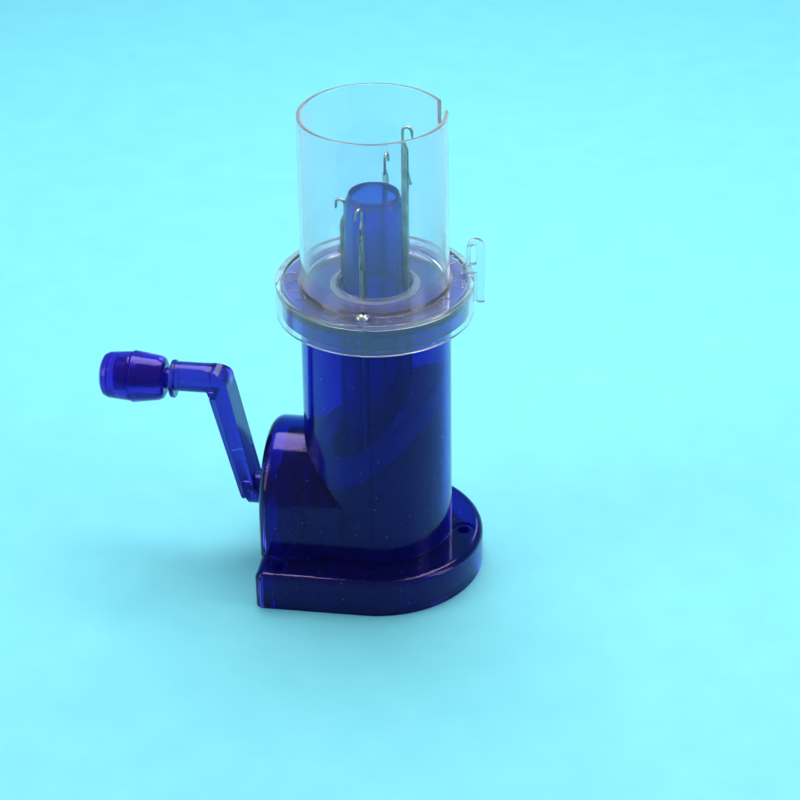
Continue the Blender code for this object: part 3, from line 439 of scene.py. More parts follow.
def plastic(name, deep, light, transmission, rough, bump, ior=1.42, specular=0.3, specks=0.0,
            streak=(1, 1, 1), tint=(1.0, 1.0, 1.0)):
    """Glossy moulded plastic: cloudy colour, uneven gloss, fine scratches and dust specks.

    specks is the noise value where dust starts, or 0 for none.
    """
    material = bpy.data.materials.new(name)
    material.use_nodes = True
    tree = material.node_tree
    shader = tree.nodes["Principled BSDF"]
    shader.inputs["Transmission Weight"].default_value = transmission
    shader.inputs["IOR"].default_value = ior
    shader.inputs["Specular IOR Level"].default_value = specular
    shader.inputs["Specular Tint"].default_value = (*tint, 1.0)
    coords = tree.nodes.new("ShaderNodeTexCoord").outputs["Object"]
    cloud = noise(tree, coords, CLOUD_SCALE, 2.0)
    colour = mixed(tree, spread(tree, cloud, 0.0, 1.0), deep, light)
    smear = noise(tree, coords, SMEAR_SCALE, 4.0, streak)
    roughness = spread(tree, smear, rough[0], rough[1])
    if specks:
        dust = noise(tree, coords, DUST_SCALE, 1.0)
        speck = spread(tree, dust, 0.0, 1.0, specks, specks + DUST_EDGE)
        colour = mixed(tree, speck, colour, DUST_COLOUR)
        grime = node(tree, "ShaderNodeMath", Operation="MAXIMUM")
        tree.links.new(roughness, grime.inputs[0])
        tree.links.new(spread(tree, speck, 0.0, DUST_ROUGHNESS, 0.0, 1.0), grime.inputs[1])
        roughness = grime.outputs[0]
    tree.links.new(colour, shader.inputs["Base Color"])
    tree.links.new(roughness, shader.inputs["Roughness"])
    waves = noise(tree, coords, WAVE_SCALE, 2.0)
    scratch = noise(tree, coords, SCRATCH_SCALE, 3.0, streak)
    low_bump = node(tree, "ShaderNodeBump", Strength=bump, Distance=0.0006)
    tree.links.new(waves, low_bump.inputs["Height"])
    fine_bump = node(tree, "ShaderNodeBump", Strength=bump * 0.6, Distance=0.0001)
    tree.links.new(scratch, fine_bump.inputs["Height"])
    tree.links.new(low_bump.outputs["Normal"], fine_bump.inputs["Normal"])
    tree.links.new(fine_bump.outputs["Normal"], shader.inputs["Normal"])
    return material


def metal(name, bright, dull, rough, streak, bump=0.15):
    """Worn steel: drawn streaks, stains and small scratches."""
    material = bpy.data.materials.new(name)
    material.use_nodes = True
    tree = material.node_tree
    shader = tree.nodes["Principled BSDF"]
    shader.inputs["Metallic"].default_value = 1.0
    coords = tree.nodes.new("ShaderNodeTexCoord").outputs["Object"]
    stain = noise(tree, coords, STAIN_SCALE, 5.0)
    tree.links.new(mixed(tree, spread(tree, stain, 0.0, 1.0), bright, dull),
                   shader.inputs["Base Color"])
    drawn = noise(tree, coords, DRAWN_SCALE, 3.0, streak)
    tree.links.new(spread(tree, drawn, rough[0], rough[1]), shader.inputs["Roughness"])
    ridges = node(tree, "ShaderNodeBump", Strength=bump, Distance=0.00008)
    tree.links.new(drawn, ridges.inputs["Height"])
    tree.links.new(ridges.outputs["Normal"], shader.inputs["Normal"])
    return material


def painted_edge_sheen(material, clear_share):
    """Paint a sheen on clear plastic: it scatters more light and looks paler at a grazing angle."""
    tree = material.node_tree
    facing = node(tree, "ShaderNodeLayerWeight", Blend=EDGE_BLEND)
    share = spread(tree, facing.outputs["Facing"], clear_share, PAINTED_SHEEN_CLEAR_SHARE, EDGE_START, 1.0)
    tree.links.new(share, tree.nodes["Principled BSDF"].inputs["Transmission Weight"])


# plastic: name, two base colours, transmission, lowest and highest roughness
# metal: name, two base colours, lowest and highest roughness, stretch of the drawn streaks
PURPLE = plastic("purple_plastic", (0.05, 0.055, 0.54), (0.07, 0.075, 0.64), 0.95, (0.05, 0.12),
                 bump=0.05, specular=0.22, specks=0.80, tint=VIOLET_GLOSS)
CRANK = plastic("crank_plastic", (0.045, 0.035, 0.44), (0.06, 0.05, 0.55), 0.86, (0.07, 0.20),
                bump=0.10, specks=0.80, streak=(1, 1, 0.15), tint=VIOLET_GLOSS)
CRANK_STRIP = plastic("strip_plastic", (0.07, 0.10, 0.60), (0.10, 0.14, 0.72), 0.75, (0.12, 0.28),
                      bump=0.12, streak=(1, 1, 0.1))
KNOB = plastic("knob_plastic", (0.055, 0.02, 0.50), (0.08, 0.035, 0.64), 0.88, (0.06, 0.14),
               bump=0.06, specks=0.80, tint=VIOLET_GLOSS)
CAM_DARK = plastic("cam_plastic", (0.02, 0.014, 0.20), (0.03, 0.02, 0.26), 0.40, (0.15, 0.3),
                   bump=0.06, specular=0.2)
# Lighter copy of the cam plastic for the upper cam: painted light, standing in for lamp light on
# its band inside the column
CAM_PAINTED_LIGHT = plastic("upper_cam_plastic", (0.16, 0.13, 0.80), (0.21, 0.17, 0.90), 0.28, (0.15, 0.3),
                    bump=0.06)
CORE = plastic("cylinder_plastic", (0.07, 0.16, 0.80), (0.10, 0.22, 0.92), 0.84, (0.14, 0.28),
               bump=0.08, streak=(1, 1, 0.1), tint=(0.9, 0.6, 1.0))
CLEAR = plastic("clear_plastic", (0.92, 0.92, 1.0), (0.96, 0.96, 1.0), 0.96, (0.01, 0.04),
                bump=0.025, ior=1.42, specular=1.0, specks=0.80)
# Clear plastic with a painted sheen on its grazing edges
painted_edge_sheen(CLEAR, 0.95)
CLEAR_RING = plastic("ring_plastic", (0.70, 0.80, 0.96), (0.80, 0.88, 1.0), 0.15, (0.2, 0.35),
                     bump=0.06)
GEAR = plastic("gear_plastic", (0.035, 0.02, 0.20), (0.05, 0.03, 0.26), 0.25, (0.3, 0.45), bump=0.1)
NEEDLE = metal("needle_steel", (0.50, 0.52, 0.49), (0.28, 0.31, 0.29), (0.20, 0.40), (1, 1, 0.05))
SCREW = metal("screw_steel", (0.58, 0.58, 0.55), (0.42, 0.43, 0.40), (0.18, 0.32), (1, 1, 1))
SHAFT = metal("shaft_steel", (0.62, 0.62, 0.62), (0.45, 0.45, 0.45), (0.2, 0.35), (0.05, 1, 1))

# Hidden CAD parts that stay as they are and only get a material
CARRIED = {"base_plate": PURPLE, "shaft_bush": GEAR, "thrust_washer": GEAR, "drive_wheel": GEAR,
           "cylinder_gear": GEAR, "crank_shaft": SHAFT, "wheel_clip": SHAFT, "hub_screw": SCREW}
CARRIED.update({"base_plate_screw_%d" % number: SCREW for number in (1, 2, 3, 4)})
for name, material in CARRIED.items():
    for material_slot in frame["nodes"][name].material_slots:
        material_slot.material = material


# --- housing -------------------------------------------------------------------------------

COLUMN_SIDES = 160
BURIED = FOOT_HEIGHT - 4 * MM
PLATE_UNDER = FLANGE_TOP - FLANGE_PLATE
RIM_THICKNESS = 1.7 * MM
LEDGE_WIDTH = 1.4 * MM
UNDER_INSET = 2.2 * MM
SEAT_DEPTH = 0.6 * MM
BUSH_RADIUS = 5.3 * MM


def foot_outline(inset=0.0):
    """D-shaped outline of the foot, moved in by an inset."""
    half = FOOT_HALF_WIDTH - inset
    end = FOOT_CRANK_END + inset
    corner = 3.0 * MM - min(inset, UNDER_INSET)
    points = arc((FOOT_ROUND_X, 0), half, -90, 90, 64)
    points += arc((end + corner, half - corner), corner, 90, 180, 6)
    points += arc((end + corner, corner - half), corner, 180, 270, 6)
    return points


def arch_outline(radius, low):
    """Outline of the side housing, seen along the crank's axis."""
    return [(radius, low)] + arc((0, SHAFT_HEIGHT), radius, 0, 180, 64) + [(-radius, low)]


def column_shape():
    """Tapered column with the flange and its rim on top."""
    rim = FLANGE_RADIUS - RIM_THICKNESS
    edge = 0.6 * MM
    profile = [(0, FLANGE_TOP)]
    profile += arc((FLANGE_RADIUS - edge, FLANGE_TOP - edge), edge, 90, 0, 4)
    profile += [(FLANGE_RADIUS, FLANGE_RIM_LOW), (rim, FLANGE_RIM_LOW), (rim, PLATE_UNDER),
                (COLUMN_TOP_RADIUS, PLATE_UNDER), (COLUMN_RADIUS, BURIED), (0, BURIED)]
    return turned("column_shape", profile, COLUMN_SIDES)


def column_bore():
    """Space inside the column, with a ledge at the foot for the cam."""
    ledge = COLUMN_BORE - LEDGE_WIDTH
    above = FLANGE_TOP + 5 * MM
    profile = [(0, above), (FLANGE_HOLE, above), (FLANGE_HOLE, PLATE_UNDER),
               (COLUMN_BORE, PLATE_UNDER), (COLUMN_BORE, FOOT_HEIGHT), (ledge, FOOT_HEIGHT),
               (ledge, BELOW), (0, BELOW)]
    return turned("column_bore", profile, COLUMN_SIDES)


def housing_shape():
    """Housing in one piece, before the seam parts it."""
    arch = plate("arch", arch_outline(ARCH_RADIUS, BURIED), ARCH_END, -1 * MM, "X")
    round_edges(arch, 4.0 * MM, 6, lambda place: place.x < ARCH_END + 0.1 * MM and place.z > 0)
    cut(arch, plate("hollow", arch_outline(ARCH_RADIUS - WALL, BELOW), ARCH_END + END_WALL,
                    -3 * MM, "X"))
    foot = plate("foot", foot_outline(), 0, FOOT_HEIGHT)
    round_edges(foot, 2.5 * MM, 5, lambda place: place.z > FOOT_HEIGHT - 0.1 * MM)
    join(arch, column_shape(), foot)
    cut(arch, column_bore(), plate("under", foot_outline(UNDER_INSET), BELOW, FOOT_HEIGHT - WALL))
    tall = FOOT_HEIGHT - WALL / 2
    low = 2.3 * MM
    posts = [(2.75 * MM, low, tall, SCREW_DOWN_HOLES[0], 32)]
    posts += [(3.6 * MM, low, tall, place, 32) for place in SCREW_DOWN_HOLES[1:]]
    posts += [(2.6 * MM, low, tall, place, 24) for place in PLATE_SCREWS]
    posts += [(2.7 * MM, FLANGE_RIM_LOW, FLANGE_TOP - 1 * MM, place, 24) for place in COVER_SCREWS]
    join(arch, rounds("posts", *posts))
    holes = [(2.0 * MM, BELOW, FOOT_HEIGHT + 5 * MM, place, 32) for place in SCREW_DOWN_HOLES]
    holes += [(PILOT_RADIUS, BELOW, FOOT_HEIGHT - 2.6 * MM, place, 16) for place in PLATE_SCREWS]
    holes += [(PILOT_RADIUS, FLANGE_RIM_LOW - 5 * MM, FLANGE_TOP + 1 * MM, place, 16)
              for place in COVER_SCREWS]
    seat = FOOT_HEIGHT - SEAT_DEPTH
    seats = [(3.7 * MM, seat, FOOT_HEIGHT + 5 * MM, place, 40) for place in SCREW_DOWN_HOLES]
    cut(arch, rounds("holes", *holes), rounds("seats", *seats),
        box("window", (-27 * MM, -12 * MM, 5 * MM), (-19 * MM, 12 * MM, 45.5 * MM)),
        box("opening", (ARCH_END + END_WALL, -21.5 * MM, BELOW), (-21 * MM, 21.5 * MM, 13.5 * MM)),
        rounds("bush_hole", (BUSH_RADIUS, -6 * MM, 6 * MM, (0, 0), 48), turn=(0, QUARTER_TURN, 0),
               place=(ARCH_END, 0, SHAFT_HEIGHT)))
    return arch


def make_housing():
    """Both halves of the housing, parted by the seam."""
    housing = housing_shape()
    reach = 60 * MM
    halves = {"housing_crank_half": (-reach, SEAM_X - SEAM_GAP / 2),
              "housing_far_half": (SEAM_X + SEAM_GAP / 2, reach)}
    for name, (start, end) in halves.items():
        half = box(name, (start, -reach, -10 * MM), (end, reach, 2 * reach))
        combine(half, copy_of(housing), "INTERSECT")
        finish_piece(half, name + "_piece", "frame", PURPLE, smooth=25)
    bpy.data.objects.remove(housing, do_unlink=True)


make_housing()


# --- cams ----------------------------------------------------------------------------------

CAM_OUTER = 21.6 * MM
CAM_SLEEVE = 20.2 * MM
CAM_INNER = 15.0 * MM
CAM_TOP = 48.3 * MM
CAM_FOOT = FOOT_HEIGHT + GAP
CAM_LEDGE = CAM_TOP - 2.5 * MM
BAND_LOW = CAM_TOP + 0.4 * MM
BAND_TOP = CAM_TOP + 9.3 * MM
BAND_RAIL = BAND_TOP - 3.0 * MM
LIFTED_ABOVE = 30 * MM


def make_cam(name, profile, material):
    """Turned ring whose upper points follow the cam track."""
    cam = turned(name, profile, 120, closed=True)
    for vertex in cam.data.vertices:
        if vertex.co.z > LIFTED_ABOVE:
            vertex.co.z += cam_lift(math.atan2(vertex.co.y, vertex.co.x))
    finish_piece(cam, name + "_piece", "frame", material)


make_cam("lower_cam", [(CAM_OUTER, CAM_TOP), (CAM_OUTER, CAM_FOOT), (CAM_SLEEVE, CAM_FOOT),
                       (CAM_SLEEVE, CAM_LEDGE), (CAM_INNER, CAM_LEDGE), (CAM_INNER, CAM_TOP)],
         CAM_DARK)
# The upper cam takes the lighter copy of the cam plastic, with painted light
make_cam("upper_cam", [(CAM_OUTER, BAND_TOP), (CAM_OUTER, BAND_LOW), (CAM_SLEEVE, BAND_LOW),
                       (CAM_SLEEVE, BAND_RAIL), (CAM_INNER, BAND_RAIL), (CAM_INNER, BAND_TOP)],
         CAM_PAINTED_LIGHT)


# --- clear cover and what stands on it ------------------------------------------------------

TUBE_TOP_RADIUS = 23.0 * MM
TUBE_FOOT_RADIUS = 23.5 * MM
PAD_CIRCLE = 26.5 * MM
NOTCH_WIDTH = 8.2 * MM
NOTCH_DEPTH = 8.0 * MM
HEAD_RADIUS = 2.3 * MM

# Angles round the column in degrees
PAD_ANGLES = (-176, -150, -113, -67, -28, 0, 36, 64, 116, 144)
NOTCH_ANGLE = 22
GUIDE_ANGLE = 12


def cover_profile():
    """Ring section of the cover with every corner rounded as a moulding has them."""
    top = TUBE_TOP_RADIUS
    foot = TUBE_FOOT_RADIUS
    skirt_in = SKIRT_RADIUS - SKIRT_WALL
    rim_top = COVER_FLOOR_TOP + 0.7 * MM
    corners = [(top, TOP_HEIGHT), (foot, COVER_FLOOR_TOP + 1.0 * MM),
               (foot + 0.8 * MM, COVER_FLOOR_TOP), (skirt_in - 1.2 * MM, COVER_FLOOR_TOP),
               (skirt_in - 0.6 * MM, rim_top),
               (SKIRT_RADIUS, rim_top), (SKIRT_RADIUS, SKIRT_LOW), (skirt_in, SKIRT_LOW),
               (skirt_in, COVER_FLOOR_LOW), (COVER_HOLE, COVER_FLOOR_LOW),
               (COVER_HOLE, COVER_FLOOR_TOP), (foot - COVER_WALL, COVER_FLOOR_TOP),
               (top - COVER_WALL, TOP_HEIGHT)]
    return soft_corners(corners, 0.35 * MM, 3)


def pad_ring(degrees):
    """Raised ring on the cover's floor, at an angle round the column."""
    low = COVER_FLOOR_TOP - 0.3 * MM
    high = COVER_FLOOR_TOP + 0.4 * MM
    shoulder = high - 0.1 * MM
    ridge = [(3.15 * MM, low), (3.1 * MM, shoulder), (2.95 * MM, high), (2.8 * MM, high),
             (2.65 * MM, shoulder), (2.6 * MM, low)]
    angle = math.radians(degrees)
    place = (PAD_CIRCLE * math.cos(angle), PAD_CIRCLE * math.sin(angle), 0)
    return turned("pad_ring", ridge, 40, closed=True, place=place)


def rim_notch():
    """Block with round lower corners that cuts the notch in the tube's rim."""
    half = NOTCH_WIDTH / 2
    bottom = TOP_HEIGHT - NOTCH_DEPTH
    corner = 1.5 * MM
    above = TOP_HEIGHT + 5 * MM
    outline = arc((corner - half, bottom + corner), corner, 180, 270, 8)
    outline += arc((half - corner, bottom + corner), corner, 270, 360, 8)
    outline += [(half, above), (-half, above)]
    notch = plate("notch", outline, 19 * MM, 27 * MM, "X")
    notch.rotation_euler = (0, 0, math.radians(NOTCH_ANGLE))
    return settle(notch)


def make_clear_cover():
    """Tube, floor and skirt in one moulding."""
    cover = turned("clear_cover", cover_profile(), 192, closed=True)
    bosses = [(5.0 * MM, COVER_FLOOR_LOW, COVER_FLOOR_TOP + 0.5 * MM, place, 48, 4.7 * MM)
              for place in COVER_SCREWS]
    join(cover, rounds("bosses", *bosses))
    join(cover, *[pad_ring(degrees) for degrees in PAD_ANGLES])
    holes = rounds("holes", *[(PILOT_RADIUS, 100 * MM, 110 * MM, place, 24)
                              for place in COVER_SCREWS])
    cut(cover, holes, rim_notch())
    finish_piece(cover, "clear_cover_piece", "frame", CLEAR)


def make_retaining_ring():
    """Light ring in the flange's hole, round the needles."""
    low = FLANGE_TOP - FLANGE_PLATE + 0.2 * MM
    corners = [(FLANGE_HOLE - GAP, FLANGE_TOP), (FLANGE_HOLE - GAP, low), (COVER_HOLE + GAP, low),
               (COVER_HOLE + GAP, FLANGE_TOP)]
    ring = turned("ring", soft_corners(corners, 0.3 * MM, 3), 128, closed=True)
    finish_piece(ring, "needle_retaining_ring_piece", "frame", CLEAR_RING)


def make_yarn_guide():
    """Hook on the cover's rim: an arch with an eye, and a leg outside the skirt."""
    foot = COVER_FLOOR_TOP + 1.0 * MM
    outer = 34.6 * MM
    leg_in = 31.9 * MM
    eye_in = 30.0 * MM
    back = 28.9 * MM
    arch_height = 115.4 * MM
    bridge = 109.6 * MM
    leg_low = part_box("yarn_guide")[0].z
    middle = (outer + back) / 2
    outline = [(outer, leg_low)] + arc((middle, arch_height), (outer - back) / 2, 0, 180, 24)
    outline += [(back, bridge + 0.6 * MM), (28.5 * MM, bridge), (27.4 * MM, bridge - 0.6 * MM),
                (27.0 * MM, foot), (leg_in, foot), (leg_in, leg_low)]
    radius = (leg_in - eye_in) / 2
    eye = [(leg_in, bridge)] + arc((eye_in + radius, arch_height), radius, 0, 180, 20)
    eye += [(eye_in, bridge)]
    half = 1.2 * MM
    guide = plate("guide", outline, -half, half, "Y")
    cut(guide, plate("eye", soft_corners(eye, 0.6 * MM, 4), -2 * half, 2 * half, "Y"))
    round_edges(guide, 0.4 * MM, 3, lambda place: abs(abs(place.y) - half) < 0.01 * MM, 0.8)
    guide.rotation_euler = (0, 0, math.radians(GUIDE_ANGLE))
    finish_piece(guide, "yarn_guide_piece", "frame", CLEAR)


def make_cover_screw(name, place):
    """Pan head screw with a cross recess."""
    head = COVER_FLOOR_TOP + 0.8 * MM
    brim = head + 0.3 * MM
    crown = 1.3 * MM
    shank = 1.0 * MM
    profile = [(0, head + 1.6 * MM)]
    for step in range(1, 9):
        angle = math.radians(step * 10)
        profile.append((HEAD_RADIUS * math.sin(angle), brim + crown * math.cos(angle)))
    profile += [(HEAD_RADIUS, brim), (HEAD_RADIUS, head), (shank, head), (shank, 97.6 * MM),
                (0, 96.8 * MM)]
    standing = (*place, 0)
    screw = turned(name, profile, 48, place=standing)
    for turn in (0.5, 0.5 + QUARTER_TURN):
        cut(screw, box("recess", (-1.35 * MM, -0.33 * MM, head + 0.4 * MM),
                       (1.35 * MM, 0.33 * MM, head + 3 * MM), turn=(0, 0, turn), place=standing))
    finish_piece(screw, name + "_piece", "frame", SCREW)


make_clear_cover()
make_retaining_ring()
make_yarn_guide()
for name, place in zip(("cover_screw_front", "cover_screw_back"), COVER_SCREWS):
    make_cover_screw(name, place)


# --- crank and knob ------------------------------------------------------------------------

SPINDLE_HEIGHT = 65.45 * MM
ARM_TOP_RADIUS = 5.2 * MM
ARM_FOOT_RADIUS = 6.2 * MM
ARM_LOW = SHAFT_HEIGHT - ARM_FOOT_RADIUS
ARM_BEND = 60.8 * MM
SPINDLE_ROOT = -57.0 * MM
SPINDLE_END = -66.4 * MM
FLANGE_END = -67.9 * MM
SPINDLE_RADIUS = 4.9 * MM
PIN_RADIUS = 3.3 * MM
PIN_HEAD_RADIUS = 4.3 * MM
PIN_HEAD = -82.0 * MM
SHAFT_RADIUS = 3.0 * MM
SHAFT_FLAT = 2.4 * MM
HUB_RADIUS = 4.4 * MM
ROOT_SHARE = 0.945
TAPER_START = -49.0 * MM
ARM_HALF = 9 * MM
ARM_REACH = -60 * MM
LINE_HEIGHT = 37.4 * MM
LINE_WIDTH = 0.28 * MM
LINE_INNER = 5.68 * MM


def arm_inner(height):
    """X of the arm's side toward the housing."""
    return -40.4 * MM - 0.195 * (height - 24.0 * MM)


def arm_outer(height):
    """X of the arm's outer side, under its cover strip."""
    return -45.9 * MM - 0.222 * (height - 31.4 * MM)


def arm_front(low):
    """Block in the shape of the arm as seen along its spindle."""
    rise = SPINDLE_HEIGHT - SHAFT_HEIGHT
    lean = math.degrees(math.asin((ARM_FOOT_RADIUS - ARM_TOP_RADIUS) / rise))
    outline = arc((0, SPINDLE_HEIGHT), ARM_TOP_RADIUS, lean, 180 - lean, 40)
    outline += arc((0, SHAFT_HEIGHT), ARM_FOOT_RADIUS, 180 - lean, 360 + lean, 44)
    return plate("front", outline, low, -30 * MM, "X")


def d_bar(radius, flat, low, high):
    """Bar along the shaft's axis with one flat side."""
    reach = math.degrees(math.asin(flat / radius))
    outline = [(y, z + SHAFT_HEIGHT) for y, z in arc((0, 0), radius, -reach, 180 + reach, 32)]
    return plate("d_bar", outline, low, high, "X")


def eased(points, steps=5):
    """Smooth curve (Catmull-Rom) through points, with extra points between them."""
    line = [Vector(point) for point in points]
    smooth = []
    for index in range(len(line) - 1):
        first = line[max(index - 1, 0)]
        last = line[min(index + 2, len(line) - 1)]
        start, end = line[index], line[index + 1]
        for step in range(steps):
            t = step / steps
            square = 2 * first - 5 * start + 4 * end - last
            cube = 3 * start - first - 3 * end + last
            value = (2 * start + (end - first) * t + square * t * t + cube * t ** 3) / 2
            smooth.append(tuple(value))
    smooth.append(tuple(line[-1]))
    return smooth


def moulding_lines():
    """Shallow cross lines on the two narrow sides of the arm."""
    return [box("line", (ARM_REACH, low, LINE_HEIGHT), (-40 * MM, high, LINE_HEIGHT + LINE_WIDTH))
            for low, high in ((-ARM_HALF, -LINE_INNER), (LINE_INNER, ARM_HALF))]


def arm_blade():
    """The arm with its eased elbow, tapering toward the spindle's root."""
    elbow = [(-48.2 * MM, 63.5 * MM), (-48.6 * MM, 65.6 * MM), (-49.6 * MM, 67.1 * MM),
             (-51.4 * MM, 68.5 * MM), (-53.8 * MM, 69.6 * MM), (SPINDLE_ROOT, 70.3 * MM)]
    throat = [(SPINDLE_ROOT, 64.2 * MM), (-56.0 * MM, 63.2 * MM), (-55.2 * MM, 61.9 * MM),
              (-55.0 * MM, ARM_BEND)]
    outline = [(arm_inner(ARM_LOW), ARM_LOW), (arm_inner(ARM_BEND), ARM_BEND)]
    outline += eased(elbow) + eased(throat)
    outline += [(arm_outer(ARM_BEND), ARM_BEND), (arm_outer(ARM_LOW), ARM_LOW)]
    arm = plate("arm", outline, -ARM_HALF, ARM_HALF, "Y")
    combine(arm, arm_front(ARM_REACH), "INTERSECT")
    for vertex in arm.data.vertices:
        if vertex.co.z > ARM_BEND - 1 * MM:
            travelled = (TAPER_START - vertex.co.x) / (TAPER_START - SPINDLE_ROOT)
            near = min(max(travelled, 0.0), 1.0)
            share = 1 - (1 - ROOT_SHARE) * near * near * (3 - 2 * near)
            vertex.co.y *= share
            vertex.co.z = SPINDLE_HEIGHT + (vertex.co.z - SPINDLE_HEIGHT) * share
    return round_edges(arm, 0.45 * MM, 3, lambda place: place.x > SPINDLE_ROOT + 0.5 * MM, 0.9)


def make_crank_arm():
    """Arm, spindle, flange, the knob's pin and the hub in one moulding."""
    arm = arm_blade()
    start = -54 * MM
    end = SPINDLE_END - 0.5 * MM
    spindle = x_turned("spindle", [(0, start), (SPINDLE_RADIUS, start), (SPINDLE_RADIUS, end),
                                   (0, end)], height=SPINDLE_HEIGHT)
    flange = [(0, SPINDLE_END), (5.9 * MM, SPINDLE_END), (6.2 * MM, SPINDLE_END - 0.15 * MM),
              (6.3 * MM, SPINDLE_END - 0.4 * MM), (6.3 * MM, FLANGE_END + 0.4 * MM),
              (6.2 * MM, FLANGE_END + 0.15 * MM), (5.9 * MM, FLANGE_END), (PIN_RADIUS, FLANGE_END)]
    head = [(PIN_RADIUS, PIN_HEAD), (PIN_HEAD_RADIUS, PIN_HEAD), (PIN_HEAD_RADIUS, -83.2 * MM),
            (2.8 * MM, -85.4 * MM), (0, -85.4 * MM)]
    pin = x_turned("pin", flange + head, height=PIN_HEIGHT)
    sideways = {"turn": (0, QUARTER_TURN, 0), "place": (0, 0, SHAFT_HEIGHT)}
    hub = rounds("hub", (HUB_RADIUS, -42.6 * MM, -37.2 * MM, (0, 0), 48), **sideways)
    join(arm, spindle, pin, hub)
    cut(arm, d_bar(SHAFT_RADIUS + GAP, SHAFT_FLAT, -42.0 * MM, -30 * MM),
        rounds("hole", (PILOT_RADIUS, -50 * MM, -40 * MM, (0, 0), 24), **sideways),
        rounds("sink", (2.6 * MM, -50 * MM, -43.0 * MM, (0, 0), 32), **sideways))
    cut(arm, *moulding_lines())
    finish_piece(arm, "crank_arm_piece", "crank", CRANK)


def make_arm_cover():
    """Strip that closes the arm's outer side."""
    low = 22.8 * MM
    high = ARM_BEND - GAP
    outline = [(arm_outer(low) - GAP, low), (arm_outer(high) - GAP, high), (-54.8 * MM, high),
               (-45.45 * MM, low)]
    cover = plate("cover", outline, -ARM_HALF, ARM_HALF, "Y")
    combine(cover, arm_front(ARM_REACH), "INTERSECT")
    round_edges(cover, 0.25 * MM, 2, lambda place: True, 0.9)
    cut(cover, *moulding_lines())
    finish_piece(cover, "crank_arm_cover_piece", "crank", CRANK_STRIP)


def make_knob():
    """Inner sleeve and outer cap, with a step between them."""
    bore = PIN_RADIUS + 0.4 * MM
    begin = -69.8 * MM
    step = -80.6 * MM
    widest = 8.6 * MM
    sleeve = [(bore, begin), (5.4 * MM, begin), (6.7 * MM, -70.4 * MM), (7.35 * MM, -71.7 * MM),
              (widest, step + 0.3 * MM), (widest, step), (bore, step)]
    half = x_turned("inner", soft_corners(sleeve, 0.5 * MM, 4, closed=False), 96, closed=True,
                    height=PIN_HEIGHT)
    finish_piece(half, "knob_inner_half_piece", "knob", KNOB)
    rim = step - GAP
    pocket = 4.8 * MM
    pocket_end = -86.6 * MM
    cap = [(0, pocket_end), (pocket, pocket_end), (pocket, rim), (8.25 * MM, rim),
           (7.6 * MM, -88.6 * MM), (6.9 * MM, -90.2 * MM), (5.4 * MM, KNOB_END), (0, KNOB_END)]
    half = x_turned("outer", soft_corners(cap, 0.9 * MM, 4, closed=False), 96, height=PIN_HEIGHT)
    finish_piece(half, "knob_outer_half_piece", "knob", KNOB)


make_crank_arm()
make_arm_cover()
make_knob()


# --- needle cylinder -----------------------------------------------------------------------

def make_needle_cylinder():
    """Central tube on a wider drum with four grooves, keyed to its gear."""
    drum_top = 103.4 * MM
    drum = 11.7 * MM
    gear_low = 4.5 * MM
    gear_stop = 9.8 * MM
    seat = 9.9 * MM
    bore = 7.0 * MM
    journal = 9.0 * MM
    foot = 0.3 * MM
    groove_half = 1.15 * MM
    profile = [(bore, CYLINDER_TOP - 2 * MM), (7.55 * MM, CYLINDER_TOP - 0.15 * MM),
               (7.7 * MM, CYLINDER_TOP), (7.85 * MM, CYLINDER_TOP),
               (8.0 * MM, CYLINDER_TOP - 0.3 * MM), (8.85 * MM, CYLINDER_TOP - 2.7 * MM),
               (9.0 * MM, CYLINDER_TOP - 3.1 * MM), (9.85 * MM, drum_top),
               (drum - 0.5 * MM, drum_top), (drum - 0.15 * MM, drum_top - 0.15 * MM),
               (drum, drum_top - 0.5 * MM), (drum, gear_stop), (seat, gear_stop),
               (seat, gear_low), (journal, gear_low), (journal, foot), (bore, foot)]
    cylinder = turned("cylinder", profile, 128, closed=True)
    key = box("key", (seat - 1 * MM, -0.8 * MM, gear_low + GAP),
              (11.4 * MM, 0.8 * MM, gear_stop + 1 * MM), turn=(0, 0, math.radians(30)))
    join(cylinder, key)
    for degrees in NEEDLES.values():
        cut(cylinder, box("groove", (9.0 * MM, -groove_half, 33 * MM),
                          (13 * MM, groove_half, 140 * MM), turn=(0, 0, math.radians(degrees))))
    finish_piece(cylinder, "needle_cylinder_piece", "cylinder", CORE)


make_needle_cylinder()


# --- needles -------------------------------------------------------------------------------

STEM = 9.75 * MM
WIRE = 0.45 * MM
BEND = 1.5 * MM
NEEDLE_WIDTH = 1.7 * MM
NEEDLE_LENGTH = 95.0 * MM
SHANK_IN = 9.3 * MM
SHANK_OUT = 11.35 * MM
BUTT_OUT = 14.5 * MM
NARROW_FROM = 9.0 * MM
NARROW_OVER = 4.1 * MM
NARROW_SHARE = 0.52
RIVET_RADIUS = 0.3 * MM
RIVET_HOLE = 0.5 * MM
LATCH_HALF = 0.25 * MM
LATCH_LENGTH = 8.9 * MM
LATCH_RADIUS = 10.2 * MM
LATCH_DROP = 10.6 * MM

# Degrees that an open latch stands off its needle
LATCH_HANG = 13

# Degrees that each hook is bent round its own stem
HOOK_TWIST = {"front": -16, "right": 0, "back": 0, "left": 0}


